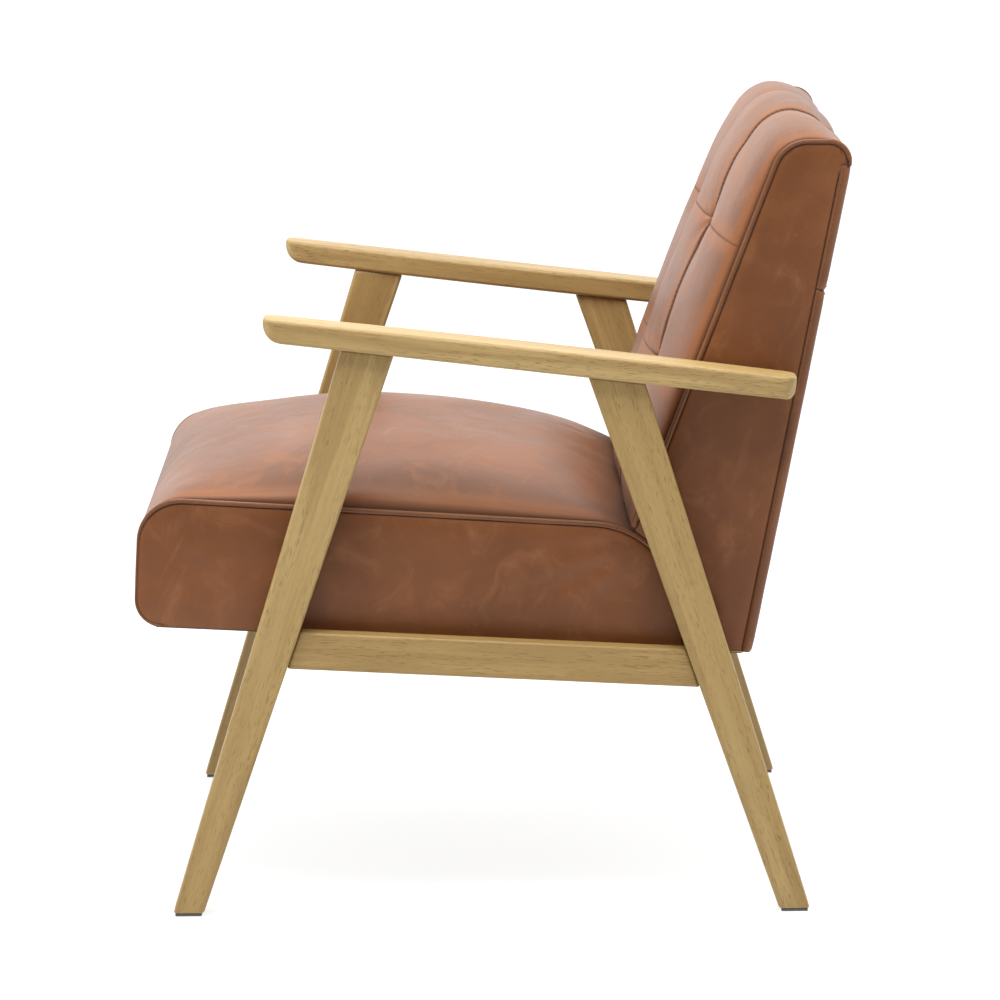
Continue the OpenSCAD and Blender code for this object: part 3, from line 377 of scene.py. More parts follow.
def webbing_finish(name):
    """Jute webbing with a plain weave."""
    f = Finish(name, roughness=0.85)
    weave = weave_height(f, 0.003)
    slubs = f.noise(f.place((0, 0, 0), (1, 0.1, 1)), 400.0)
    base = f.layers((0.16, 0.11, 0.055), (weave, f.tones.jute),
                    (slubs.ramp(0.55, 0.75) * 0.4, (0.46, 0.36, 0.22)))
    return f.set(base_color=base, roughness=0.78 + 0.15 * slubs, normal=f.bumps((weave, 0.0005, 0.8)))


def steel_finish(name):
    """Zinc-plated steel, a little dull and spangled."""
    f = Finish(name, roughness=0.35, metallic=1.0)
    spangle = f.noise(f.place(), 240.0, 3.0, 0.6)
    base = f.layers(f.tones.steel, (spangle.ramp(0.35, 0.65), (0.62, 0.61, 0.56)))
    return f.set(base_color=base, roughness=0.28 + 0.22 * spangle, normal=f.bumps((spangle, 0.00005, 0.4)))


def glide_finish(name):
    """Moulded plastic of the glides, scuffed by floors."""
    f = Finish(name, roughness=0.55)
    scuff = f.noise(f.place((0, 0, 0.4), (1, 12, 1)), 90.0)
    speck = f.noise(f.place(), 1800.0, 2.0)
    base = f.layers(f.tones.glide, (scuff.ramp(0.5, 0.8) * 0.5, (0.21, 0.215, 0.225)))
    return f.set(base_color=base, roughness=0.5 + 0.2 * scuff, normal=f.bumps((speck, 0.00004, 0.6)))


def thread_finish(name):
    """Waxed thread, twisted along the stitch."""
    f = Finish(name, roughness=0.5, sheen_weight=0.15)
    twist = f.noise(f.place(), 2600.0, 2.0)
    base = f.layers(f.tones.thread, (twist.ramp(0.35, 0.65), (0.130, 0.054, 0.024)))
    return f.set(base_color=base, roughness=0.45 + 0.2 * twist, normal=f.bumps((twist, 0.00008, 0.7)))


# ---------------------------------------------------------------- paths in the chair's side view

def unit(v):
    v = np.asarray(v, float)
    return v / np.linalg.norm(v)


def along(p, lean, distance):
    """The point a distance from p, up a line that leans back by an angle."""
    return np.asarray(p, float) + distance * np.array([math.sin(lean), math.cos(lean)])


def behind(p, lean, distance):
    """The point a distance behind p, square to a line that leans back by an angle."""
    return p + distance * np.array([math.cos(lean), -math.sin(lean)])


def meet(p, q, r, s):
    """Where the line through p and q meets the line through r and s."""
    p, q, r, s = (np.asarray(v, float) for v in (p, q, r, s))
    a, b, c = q - p, s - r, r - p
    return p + a * (c[0] * b[1] - c[1] * b[0]) / (a[0] * b[1] - a[1] * b[0])


def corner(a, b, c, radius, steps=16):
    """Points of the arc that rounds the corner b between a and c."""
    a, b, c = (np.asarray(v, float) for v in (a, b, c))
    u, v = unit(a - b), unit(c - b)
    half = math.acos(float(u @ v)) / 2
    centre = b + unit(u + v) * radius / math.sin(half)
    first, last = b + u * radius / math.tan(half) - centre, b + v * radius / math.tan(half) - centre
    start = math.atan2(first[1], first[0])
    turn = (math.atan2(last[1], last[0]) - start + math.pi) % (2 * math.pi) - math.pi
    angles = start + turn * np.linspace(0, 1, steps + 1)
    return centre + radius * np.stack([np.cos(angles), np.sin(angles)], 1)


def reach(points):
    """Distance along a path at each of its points."""
    return np.concatenate([[0], np.cumsum(np.linalg.norm(np.diff(points, axis=0), axis=1))])


def at_reach(points, distances):
    """Points of a path at the given distances along it."""
    run = reach(points)
    return np.stack([np.interp(distances, run, points[:, k]) for k in range(points.shape[1])], 1)


def outward(points):
    """Outward direction at each point of a path that runs up the front and over the top."""
    t = np.concatenate([points[1:], points[-1:]]) - np.concatenate([points[:1], points[:-1]])
    t /= np.linalg.norm(t, axis=1)[:, None]
    return np.stack([-t[:, 1], t[:, 0]], 1)


def near(distance, width):
    """1 at a seam, falling away smoothly over a width."""
    return np.exp(-(np.asarray(distance) / width) ** 2)


def held(t):
    return np.clip(t, 0, 1)


def dome(t, power=3.0):
    return np.sqrt(np.maximum(0, 1 - np.abs(t) ** power))


def fill_out(t, power=0.62):
    return np.sin(np.pi / 2 * held(t)) ** power


def fill_soft(t):
    k = held(t)
    return k + k ** 2 - k ** 3


def to_deck(p, s):
    """Points of the side view measured along and square to the sloping deck."""
    y, z = p[..., 0], p[..., 1] - s.deck_height
    c, n = math.cos(s.deck_tilt), math.sin(s.deck_tilt)
    return np.stack([y * c - z * n, y * n + z * c], -1)


def from_deck(p, s):
    p = np.asarray(p, float)
    c, n = math.cos(s.deck_tilt), math.sin(s.deck_tilt)
    return np.stack([p[..., 0] * c + p[..., 1] * n, s.deck_height - p[..., 0] * n + p[..., 1] * c], -1)


def seat_corners(s, grow=0.0):
    """The seat's side outline in deck coordinates, as rounded corner points."""
    c = [(-s.front - grow, -grow), (-s.front - grow, s.front_height + grow),
         (s.rear + grow, s.rear_height + grow), (s.rear + grow, -grow)]
    return (corner(c[3], c[0], c[1], s.toe_radius + grow), corner(c[0], c[1], c[2], s.brow_radius + grow, 24),
            corner(c[1], c[2], c[3], s.tail_radius + grow, 40), np.array([c[3]]))


def seat_path(s):
    """Round the toe, up the front, over the top and down the rear."""
    toe, brow, tail = seat_corners(s)[:3]
    return np.concatenate([toe, brow, tail[tail[:, 1] > s.tack_height]])


def seat_rise(s, u, x):
    """Height of the seat's crown over its side outline."""
    skew = math.log(0.5) / math.log(s.crest)
    t = held((u + s.front) / (s.front + s.rear))
    tucked = held((u - s.tuck_from) / s.tuck_span)
    shape = np.sin(np.pi * t ** skew) * np.minimum(1, t / s.front_ease) ** 0.5
    return s.crown * shape * (1 - s.tuck * tucked ** 2 * (3 - 2 * tucked)) * dome(x / FRAME_HALF)


class BackLines:
    """Points, directions and lengths of the back in side view."""

    def __init__(self, b, s):
        far = 3.0
        self.crease = from_deck((b.face, s.rear_height), s)
        self.heel = from_deck((b.heel, 0.0), s)
        level = ((-far, b.top), (far, b.top))
        self.front_top = meet(self.crease, along(self.crease, b.face_lean, far), *level)
        self.rear_top = meet(self.heel, along(self.heel, b.rear_lean, far), *level)
        self.brow = corner(self.crease, self.front_top, self.rear_top, b.front_radius)
        self.nape = corner(self.front_top, self.rear_top, self.heel, b.rear_radius)
        self.path = np.concatenate([[self.crease], self.brow, self.nape])
        self.total = float(reach(self.path)[-1])
        face = float(np.linalg.norm(self.front_top - self.crease))
        self.rows = (b.first_row * face, (b.first_row + b.row_pitch) * face)
        self.pitch = b.row_pitch * face
        self.rear_len = float(np.linalg.norm(self.rear_top - self.heel))
        self.wrap_top = float(np.linalg.norm(self.rear_top - self.nape[-1]))
        f0, f1 = (behind(p, b.face_lean, b.core_front) for p in (self.front_top, self.crease))
        r0, r1 = (behind(p, b.rear_lean, -b.wrap_radius) for p in (self.rear_top, self.heel))
        low = ((-far, b.top - b.core_top), (far, b.top - b.core_top))
        self.core = (meet(r0, r1, *low), meet(f0, f1, *low), f1)

    def on_rear(self, b, drop, depth=0.0):
        """Point on the rear face, a drop down from its top and a depth behind it."""
        return behind(along(self.rear_top, b.rear_lean, -drop), b.rear_lean, depth)


# ---------------------------------------------------------------- mesh helpers

def new_piece(name, points, faces, finish, smooth=True):
    mesh = bpy.data.meshes.new(name)
    mesh.from_pydata([tuple(map(float, p)) for p in points], [], [tuple(map(int, f)) for f in faces])
    mesh.validate()
    piece = bpy.data.objects.new(name, mesh)
    bpy.context.scene.collection.objects.link(piece)
    mesh.polygons.foreach_set("use_smooth", [smooth] * len(mesh.polygons))
    mesh.materials.append(finish)
    return piece


def grid_faces(n, m, close=False):
    """Faces over n rows of m points; close joins the last row to the first."""
    return [(i * m + j, i * m + j + 1, (i + 1) % n * m + j + 1, (i + 1) % n * m + j)
            for i in range(n if close else n - 1) for j in range(m - 1)]


def tube_faces(n, m):
    """Faces of a tube through n rings of m points."""
    return [(i * m + j, i * m + (j + 1) % m, (i + 1) * m + (j + 1) % m, (i + 1) * m + j)
            for i in range(n - 1) for j in range(m)]


def drawn_across(x, line):
    """A line of the side view repeated at every x, as a grid of points."""
    shape = (len(line), len(x))
    return np.stack([np.broadcast_to(v, shape) for v in (x, line[:, :1], line[:, 1:])], -1)


def store(piece, inner=0, **tones):
    """Keeps one number for each point of a piece, for its material; the inner points get 0."""
    for name, values in tones.items():
        layer = piece.data.attributes.new(name, "FLOAT", "POINT")
        values = np.asarray(values, np.float32).ravel()
        layer.data.foreach_set("value", np.concatenate([values, np.zeros(inner, np.float32)]))


def points_of(piece):
    co = np.zeros(len(piece.data.vertices) * 3)
    piece.data.vertices.foreach_get("co", co)
    return co.reshape(-1, 3)


def baked(piece):
    """Turns a piece and its modifiers into a plain mesh."""
    graph = bpy.context.evaluated_depsgraph_get()
    graph.update()
    mesh = bpy.data.meshes.new_from_object(piece.evaluated_get(graph), preserve_all_data_layers=True,
                                           depsgraph=graph)
    piece.modifiers.clear()
    piece.data = mesh
    return piece


def subdivided(piece):
    smoother = piece.modifiers.new("Smoother", "SUBSURF")
    smoother.levels = smoother.render_levels = 1
    return baked(piece)


def flattened(piece):
    """Shades a rounded wooden part so that its broad faces look flat."""
    piece.modifiers.new("Flats", "WEIGHTED_NORMAL").keep_sharp = False
    return baked(piece)


def cleaned(piece, change=None):
    """Merges doubles, applies one bmesh change, closes holes and turns faces outwards."""
    mesh = bmesh.new()
    mesh.from_mesh(piece.data)
    bmesh.ops.remove_doubles(mesh, verts=mesh.verts, dist=1e-6)
    if change:
        change(mesh)
    rims = [e for e in mesh.edges if e.is_boundary]
    if rims:
        made = bmesh.ops.holes_fill(mesh, edges=rims, sides=0)["faces"]
        bmesh.ops.triangulate(mesh, faces=made)
    bmesh.ops.recalc_face_normals(mesh, faces=mesh.faces)
    if mesh.calc_volume(signed=True) < 0:
        bmesh.ops.reverse_faces(mesh, faces=mesh.faces)
    mesh.to_mesh(piece.data)
    mesh.free()
    return piece


def ready(piece, *nodes, slot):
    """Parents a finished piece to the root body and hides the imported parts that it stands in for."""
    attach(piece, "root")
    if nodes:
        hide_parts(*nodes)
    return piece


def ripple(points, scale, seed=0.0):
    """Smooth noise from -1 to 1 at each point."""
    return np.array([noise.noise(Vector(p) * scale + Vector((seed, seed * 0.7, -seed))) for p in points])


CLOTH = {"quality": 6, "mass": 0.4, "tension_stiffness": 25, "compression_stiffness": 25, "shear_stiffness": 10,
         "bending_stiffness": 2.0, "air_damping": 3.0, "use_pressure": True, "vertex_group_mass": "held",
         "pin_stiffness": 1.0}
CLOTH_STEPS = 20


def inflated(piece, pins, pressure, cap):
    """Inflates a cushion with cloth, holding the pinned points and keeping each within cap of its start."""
    scene = bpy.context.scene
    start = points_of(piece)
    group = piece.vertex_groups.new(name="held")
    pins = np.round(pins, 2)
    for weight in np.unique(pins[pins > 0]):
        group.add([int(i) for i in np.nonzero(pins == weight)[0]], float(weight), "REPLACE")
    cloth = piece.modifiers.new("Inflate", "CLOTH")
    for name, value in {**CLOTH, "uniform_pressure_force": pressure}.items():
        setattr(cloth.settings, name, value)
    cloth.settings.effector_weights.gravity = 0.0
    cloth.collision_settings.use_collision = False
    cloth.collision_settings.use_self_collision = False
    cloth.point_cache.frame_start, cloth.point_cache.frame_end = 1, CLOTH_STEPS
    for step in range(1, CLOTH_STEPS + 1):
        scene.frame_set(step)
    baked(piece)
    scene.frame_set(1)
    moved = points_of(piece) - start
    size = np.linalg.norm(moved, axis=1)
    limit = cap * np.tanh(size / cap) / np.maximum(size, 1e-9)
    points = start + moved * limit[:, None]
    piece.data.vertices.foreach_set("co", np.asarray(points, np.float32).ravel())
    piece.data.update()
    piece.vertex_groups.clear()


# ---------------------------------------------------------------- wooden parts

def outline(node, face_x):
    """Outer loop [(y, z), ...] of a CAD node's flat side face at that x."""
    mesh = bmesh.new()
    mesh.from_mesh(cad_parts[node].data)
    bmesh.ops.remove_doubles(mesh, verts=mesh.verts, dist=1e-6)
    flat = {f for f in mesh.faces if all(abs(v.co.x - face_x) < 1e-5 for v in f.verts)}
    follow = {}
    for face in flat:
        for loop in face.loops:
            if sum(other in flat for other in loop.edge.link_faces) == 1:
                follow.setdefault(loop.vert, []).append(loop.link_loop_next.vert)
    loops = []
    while follow:
        here, found = next(iter(follow)), []
        while here in follow:
            found.append((here.co.y, here.co.z))
            here = follow.pop(here)[0]
        loops.append(np.array(found))
    mesh.free()
    loop = max(loops, key=lambda p: abs(np.sum(p[:, 0] * np.roll(p[:, 1], -1)
                                               - np.roll(p[:, 0], -1) * p[:, 1])))
    d1, d2 = loop - np.roll(loop, 1, 0), np.roll(loop, -1, 0) - loop
    turn = np.abs(d1[:, 0] * d2[:, 1] - d1[:, 1] * d2[:, 0])
    return loop[turn / (np.linalg.norm(d1, axis=1) * np.linalg.norm(d2, axis=1)) > 1e-3]


def sanded_bar(name, node, finish, edge, slot):
    """A bar cut to its CAD node's side outline, with its edges sanded round."""
    lo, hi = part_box(node)
    loop = outline(node, hi.x if hi.x > -lo.x - 1e-6 else lo.x)
    n = len(loop)
    points = [(x, y, z) for x in (lo.x, hi.x) for y, z in loop]
    faces = [tuple(range(n)), tuple(range(2 * n - 1, n - 1, -1))] + tube_faces(2, n)

    def sand(mesh):
        bmesh.ops.recalc_face_normals(mesh, faces=mesh.faces)
        bmesh.ops.bevel(mesh, geom=list(mesh.edges), offset=edge, segments=3, profile=0.5,
                        affect="EDGES", clamp_overlap=True)
    return ready(flattened(cleaned(new_piece(name, points, faces, finish), sand)), node, slot=slot)


# distances from an arm's end to its closest cross sections
ARM_EASE = (0, .0004, .0012, .0024, .004, .006, .0085, .0115, .015, .020, .026, .034)


def arm_piece(name, node, side, wood):
    """An arm lofted along its length: straight outside, bowed inside, undercut nose and soft edges."""
    lo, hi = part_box(node)
    co = np.array([v.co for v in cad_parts[node].data.vertices])
    c, n = math.cos(wood.arm_slope), math.sin(wood.arm_slope)
    run = co[:, 1] * c - co[:, 2] * n
    top, a0, a1 = (co[:, 1] * n + co[:, 2] * c).max(), run.min(), run.max()
    outer = max(abs(lo.x), abs(hi.x))
    mid, half = (a0 + a1) / 2, (a1 - a0) / 2

    def cut(d, r):
        """How far a round of radius r takes the surface back, a distance d from the end."""
        return r - math.sqrt(max(0.0, r * r - (r - d) ** 2)) if d < r else 0.0

    stations = [a0 + e for e in ARM_EASE] + list(np.linspace(a0 + 0.045, a1 - 0.045, 34))
    stations += [a1 - e for e in reversed(ARM_EASE)]
    rings, quarter = [], np.linspace(0, 90, 7)
    for at in stations:
        d = min(at - a0, a1 - at)
        side_cut = cut(d, wood.arm_corner)
        up = top - cut(d, wood.lip_radius)
        low = top - wood.arm_thick + cut(at - a0, wood.nose_radius) + cut(a1 - at, wood.tail_radius)
        t = (at - mid) / (half - wood.arm_corner)
        bow = (wood.arm_middle - wood.arm_end) * max(0.0, 1 - t * t)
        x1 = outer - side_cut
        x0 = outer - wood.arm_end - bow + side_cut
        r = max(2e-5, min(wood.arm_edge, (up - low) / 2.05, (x1 - x0) / 2.05))
        ring = []
        centres = ((x1 - r, up - r), (x0 + r, up - r), (x0 + r, low + r), (x1 - r, low + r))
        for k, (cx, ch) in enumerate(centres):
            turns = np.radians(90 * k + quarter)
            ring += [(cx + r * math.cos(q), ch + r * math.sin(q)) for q in turns]
        rings.append([(side * x, at * c + h * n, -at * n + h * c) for x, h in ring])
    n_rings, m = len(rings), len(rings[0])
    faces = tube_faces(n_rings, m) + [tuple(range(m)), tuple(range((n_rings - 1) * m, n_rings * m))]
    oak = finish_of("oak_arms", oak_finish, (0, c, -n))
    return ready(flattened(cleaned(new_piece(name, [p for ring in rings for p in ring], faces, oak))), node,
                 slot="oak")


class ARMCHAIR_OT_wooden_frame(bpy.types.Operator):
    """Make the oak legs, arms and rails with sanded edges"""
    bl_idname = "armchair.wooden_frame"
    bl_label = "Wooden frame"

    def execute(self, context):
        wood, seat = context.scene.armchair_wood, context.scene.armchair_seat
        lean = wood.leg_lean
        for end, way in (("front", 1), ("rear", -1)):
            grain = finish_of(f"oak_{end}_legs", oak_finish, (0, way * math.sin(lean), math.cos(lean)))
            for side, _ in SIDES:
                sanded_bar(f"{side}_{end}_leg_oak", f"{side}_{end}_leg", grain, wood.edge, "oak")
                sanded_bar(f"{side}_{end}_glide_pad", f"{side}_{end}_glide",
                           finish_of("glide_plastic", glide_finish), wood.edge / 3, "glide")
        along_deck = (0, math.cos(seat.deck_tilt), -math.sin(seat.deck_tilt))
        run = finish_of("oak_side_rails", oak_finish, along_deck)
        for side, way in SIDES:
            sanded_bar(f"{side}_side_rail_oak", f"{side}_side_rail", run, wood.edge, "oak")
            arm_piece(f"{side}_arm_oak", f"{side}_arm", way, wood)
        cross = finish_of("oak_cross_rails", oak_finish, (1, 0, 0))
        for end in ("front", "rear"):
            sanded_bar(f"{end}_cross_rail_oak", f"{end}_cross_rail", cross, wood.edge, "oak")
        return {"FINISHED"}


class ARMCHAIR_OT_hidden_parts(bpy.types.Operator):
    """Finish the pine frame, webbing, cloths and metal fastenings that stay as built"""
    bl_idname = "armchair.hidden_parts"
    bl_label = "Hidden parts"

    def execute(self, context):
        kinds = (("jute_webbing", webbing_finish, ("webbing", "ties")),
                 ("zinc_steel", steel_finish, ("bolt", "washer", "nut", "screw", "nail")),
                 ("dust_cloth", dust_cloth_finish, ("dust_cover", "bottom_cloth")),
                 ("pine", pine_finish, ("dowel", "rail", "board", "block")))
        for name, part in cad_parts.items():
            for finish, maker, words in kinds:
                if any(word in name for word in words):
                    part.data.materials.clear()
                    part.data.materials.append(finish_of(finish, maker))
                    break
        return {"FINISHED"}


# ---------------------------------------------------------------- leather seat and back

# The dark line is the seam with painted shade in its groove.
EDGE_LINE = 0.0014                       # half width of the dark line along a cushion's sewn edge
CROSSINGS = tuple((side * LOBE / 2, row) for side in (-1, 1) for row in (0, 1))
SWELL_POWER = 0.38                       # how bluntly the lobes swell from bottom to top
# distances from a seam to the cushion's points beside it
SEAM_GAPS = (0, 0.0011, 0.0024, 0.0046, 0.0080, 0.0115, 0.0160, 0.0220, 0.0290, 0.0370, 0.0460, 0.0560, 0.0670,
             0.0785)
FOOT_ROWS = np.array([0, 0.0012, 0.003, 0.0055, 0.009, 0.013, 0.018, 0.024, 0.031])


def leather():
    return finish_of("leather", leather_finish)


def closed_cushion(name, outer, under, pins, pressure, cap, **tones):
    """A cushion from its outer grid and its hidden underside, inflated and smoothed."""
    rows = np.concatenate([outer, under])
    n, m = rows.shape[:2]
    piece = new_piece(name, rows.reshape(-1, 3), grid_faces(n, m, close=True), leather())
    inflated(piece, np.concatenate([pins, np.ones((len(under), m))]).ravel(), pressure, cap)
    store(piece, len(under) * m, **tones)
    return cleaned(subdivided(piece))


class ARMCHAIR_OT_seat_cushion(bpy.types.Operator):
    """Make the crowned seat cushion with its leather cover"""
    bl_idname = "armchair.seat_cushion"
    bl_label = "Seat cushion"

    def execute(self, context):
        s = context.scene.armchair_seat
        path = seat_path(s)
        path = at_reach(path, np.linspace(0, reach(path)[-1], int(reach(path)[-1] / s.grid) + 1))
        normals = outward(path)
        t = np.linspace(-1, 1, 2 * int(FRAME_HALF / s.grid) + 1)
        x = (FRAME_HALF - PLAY) * (0.45 * t + 0.55 * np.sin(np.pi / 2 * t))
        u, w = path[:, :1], path[:, 1:]
        rise = seat_rise(s, u, x[None, :])
        # the cushion starts a little low, more so at its front, and is inflated into its full shape
        room = np.minimum(1, rise / s.crown) * s.swell_room * (1 + 2.2 * held((-0.20 - u) / 0.10))
        flat_x = np.broadcast_to(x[None, :], rise.shape)
        outer = np.stack([flat_x, u + rise * s.lean - normals[:, :1] * room,
                          w + rise - normals[:, 1:] * room], -1)
        # small unevenness of stretched leather, dying out at the edges
        points = outer.reshape(-1, 3)
        wave = (ripple(points, 9.0, 1.0) * 0.0016 + ripple(points, 24.0, 2.0) * 0.0005).reshape(rise.shape)
        outer[..., 1:] += normals[:, None, :] * (wave * np.minimum(1, rise / (0.5 * s.crown)))[..., None]
        # the hidden underside: forward over the webbing, then down in front of the rail
        level, foot = s.web_height + 0.0006, 0.0012
        back = np.array([path[-1][0] - 0.002, level])
        fore = np.array([s.toe_pad - s.front - 0.001, level])
        low = np.array([fore[0], foot])
        line = np.concatenate([at_reach(np.array([back, fore]), np.linspace(0, back[0] - fore[0], 60)),
                               at_reach(np.array([fore, low]), np.linspace(0, level - foot, 7))[1:]])
        pins = np.zeros(rise.shape)
        pins[:, [0, -1]] = 1
        pins[:, [1, -2]] = 0.6
        pins[:3] = pins[-6:] = 1
        edge = FRAME_HALF - np.abs(flat_x)
        world = lambda grid: np.concatenate([grid[..., :1], from_deck(grid[..., 1:], s)], -1)
        # painted shade: the crease against the back is darkest, laid in with the seam lines
        crease = np.broadcast_to(held((u - 0.078) / 0.050) ** 1.5 * 0.80, edge.shape)
        # the seam lines carry painted groove shade, and the rub strip inside the edge is rubbed wear with a
        # painted highlight
        piece = closed_cushion(
            "seat_cushion", world(outer), world(drawn_across(x, line)), pins, 4.0, 0.006,
            seam=np.maximum(near(edge, EDGE_LINE) * 0.8, crease), hollow=near(edge, 0.016),
            rub=near(edge - 0.012, 0.008) * 0.4)
        ready(piece, "seat_top_cover", "seat_foam", slot="leather")
        return {"FINISHED"}


def seam_steps(span):
    """Distances from one seam towards the next, close together beside the seam."""
    return np.array([g for g in SEAM_GAPS if g < span - 0.004] + [span])


def between_seams(span):
    """Distances from one seam to the next, close together beside both."""
    part = seam_steps(span / 2)
    return np.concatenate([part, span - part[-2::-1]])


def read_along(path, values, run):
    """Values given at a path's points, read at a grid of distances along it."""
    return np.stack([np.interp(run, reach(path), values[:, k]) for k in range(2)], -1)


def lobe_foot(x, lines, b, s):
    """How far up the face the lobes start at each x, to clear the seat's crowned surface."""
    up = np.linspace(-0.02, 0.05, 141)
    face = to_deck(np.array([along(lines.crease, b.face_lean, d) for d in up]), s)
    edge = seat_path(s)
    edge = edge[len(edge) // 4:]
    foot = np.zeros(len(x))
    for j, at in enumerate(x):
        rise = seat_rise(s, edge[:, 0], at)
        u, w = edge[:, 0] + rise * s.lean, edge[:, 1] + rise
        order = np.argsort(u)
        clear = np.nonzero(face[:, 1] - np.interp(face[:, 0], u[order], w[order]) > 0.0015)[0]
        foot[j] = up[clear[0]] if len(clear) else 0.0
    return foot


class ARMCHAIR_OT_back_cushion(bpy.types.Operator):
    """Make the tufted inside back: three upright lobes crossed by two level seams"""
    bl_idname = "armchair.back_cushion"
    bl_label = "Back cushion"

    def execute(self, context):
        b, s = context.scene.armchair_back, context.scene.armchair_seat
        lines = BackLines(b, s)
        first, second = lines.rows
        one = between_seams(LOBE)
        x = np.concatenate([one[:-1] - 1.5 * LOBE, one[:-1] - 0.5 * LOBE, one + 0.5 * LOBE])
        x *= (FRAME_HALF - PLAY) / FRAME_HALF
        # rows up the face, from the seat to the rear edge
        low = first - seam_steps(first)[::-1]
        up = second + np.array([g for g in SEAM_GAPS if g < 0.05])
        rows = np.concatenate([FOOT_ROWS, low[low > 0.036], first + between_seams(lines.pitch), up,
                               np.arange(up[-1] + 0.007, lines.total - 0.003, 0.0065), [lines.total]])
        rows = np.unique(np.round(rows, 6))
        foot = lobe_foot(x, lines, b, s)
        run = rows[:, None] + foot[None, :] * held(1 - rows / first)[:, None] ** 2
        shape = run.shape
        q = read_along(lines.path, lines.path, run)
        q = q + np.minimum(run, 0)[..., None] * unit(lines.path[1] - lines.path[0])
        normals = read_along(lines.path, outward(lines.path), run)
        normals /= np.linalg.norm(normals, axis=-1)[..., None]
        gx = np.broadcast_to(x[None, :], shape)
        # how far the lobes swell on their way up and over the top
        way = held(run / lines.total)
        swell = b.crown * np.maximum(0, np.sin(np.pi * (b.swell_from + b.swell_span * way))) ** SWELL_POWER
        swell = swell * np.sqrt(1 - held((way - b.turn) / (b.close - b.turn)) ** 2)
        swell = swell - b.brow_tuck * near(way - 0.81, 0.055)
        # the seams between the lobes
        to_upright = np.minimum(np.abs(gx - LOBE / 2), np.abs(gx + LOBE / 2))
        to_level = np.minimum(np.abs(run - first), np.abs(run - second))
        middle = np.abs(gx) < LOBE / 2
        across = np.where(middle, fill_out(2 * to_upright / LOBE, 0.55), fill_soft(2 * to_upright / LOBE))
        level = fill_out(2 * to_level / lines.pitch)
        end = np.minimum(1, np.maximum(0, lines.total - run) / b.fade)
        groove = (b.upright_depth * (1 - across) * end - middle * b.middle_rise * across * end
                  + b.level_depth * (1 - level) + b.pinch_depth * (1 - across) * (1 - level))
        slit = 0.0012 * near(to_upright, 0.0018) * np.minimum(1, end * 3) + 0.0007 * near(to_level, EDGE_LINE)
        lip = np.sqrt(np.maximum(0, 1 - (1 - held((run - foot[None, :]) / b.lip)) ** 2))
        # folds that gather towards the crossings, and puckers along the seams
        pull = np.zeros(shape)
        for k, (cx, row) in enumerate(CROSSINGS):
            dx, ds = gx - cx, run - lines.rows[row]
            away = np.hypot(dx, ds)
            pull += (0.0016 * np.cos(6 * np.arctan2(ds, dx) + 1.3 * k) * np.exp(-away / 0.030)
                     * np.minimum(1, away / 0.006))
        flat = np.stack([gx, run, np.zeros_like(run)], -1).reshape(-1, 3)
        waves = (((0.5, 1, 1), 55.0, 3.0), ((1, 0.5, 1), 55.0, 5.0), ((1, 1, 1), 16.0, 9.0))
        upright_wave, level_wave, broad = (ripple(flat * np.array(stretch), scale, seed).reshape(shape)
                                           for stretch, scale, seed in waves)
        pucker = (0.0009 * upright_wave * near(to_upright, 0.020)
                  + 0.0008 * level_wave * near(to_level, 0.018) + 0.0008 * broad)
        full = dome(gx / FRAME_HALF, 4.5)
        room = b.swell_room * across * level * end
        lift = (swell - groove) * lip * full + (pull + pucker - room) * (full * lip) * np.minimum(1, end * 2)
        lift -= slit * lip * np.minimum(1, (FRAME_HALF - np.abs(gx)) / 0.01)
        q = q + normals * lift[..., None]
        outer = np.stack([gx, q[..., 0], q[..., 1]], -1)
        # hidden inside: round the frame's top and front
        inner = np.array([lines.path[-1], *lines.core])
        inner = at_reach(inner, np.linspace(0, reach(inner)[-1], 70)[1:])
        pins = np.zeros(shape)
        pins[:, [0, -1]] = 1
        pins = np.maximum(pins, near(to_upright, 0.006) * np.minimum(1, end * 3))
        pins = np.maximum(pins, near(to_level, 0.004))
        pins[:4] = pins[-4:] = 1
        pins[pins < 0.06] = 0
        edge = FRAME_HALF - np.abs(gx)
        # painted shade: the lobes darken towards their foot, where they meet the seat
        crease = held(1 - (run - foot[None, :]) / 0.040) ** 1.5 * 0.75
        upright_line = near(to_upright, np.where(middle, 0.0034, 0.0013)) * np.minimum(1, end * 4)
        # the seam lines carry painted groove shade, and the rub strip inside the edge is rubbed wear with a
        # painted highlight
        piece = closed_cushion(
            "back_cushion", outer, drawn_across(x, inner), pins, 3.5, 0.0035,
            seam=np.maximum.reduce([crease, upright_line, near(to_level, 0.0009) * 0.8,
                                    near(edge, EDGE_LINE) * 0.8]),
            hollow=np.maximum.reduce([near(to_upright, 0.020) * end ** 0.5, near(to_level, 0.016),
                                      near(edge, 0.010)]),
            rub=near(edge - 0.010, 0.006) * 0.4)
        ready(piece, "back_inside_cover", "back_foam", slot="leather")
        return {"FINISHED"}


# ---------------------------------------------------------------- side panels and sewn bands

# spacing of a panel's points in from its edge, and of its rows
EDGE_GAPS = np.array([0, 0.7, 1.6, 2.8, 4.0, 5.0, 5.7, 6.6, 8.0, 10.0,
                      13, 17, 22, 28, 35, 43, 52, 62, 73, 85]) / 1000
ROW_GAPS = np.array([0.2, 1.2, 2.6, 4.2, 5.4, 6.6, 8.5, 11.5, 15.5, 21, 28, 36]) / 1000
# across a band: depth from the seam, height over the panel, seam line with painted groove shade, rub with a
# painted highlight on the crest
BAND = np.array([(0.0010, -0.0018, 0.9, 0), (-0.0001, -0.0018, 0.5, 0), (-0.0006, -0.0011, 0, 0.2),
                 (-0.0004, -0.0002, 0, 0.4), (0.0006, 0.0004, 0, 0.5), (0.0022, 0.0007, 0, 0.5),
                 (0.0038, 0.0005, 0, 0.3), (0.0046, -0.0001, 0.15, 0.1), (0.0048, -0.0010, 0.9, 0)])
SLIM, SINK = 0.6, 0.7                    # how much narrower and lower the bands are down the seat's front


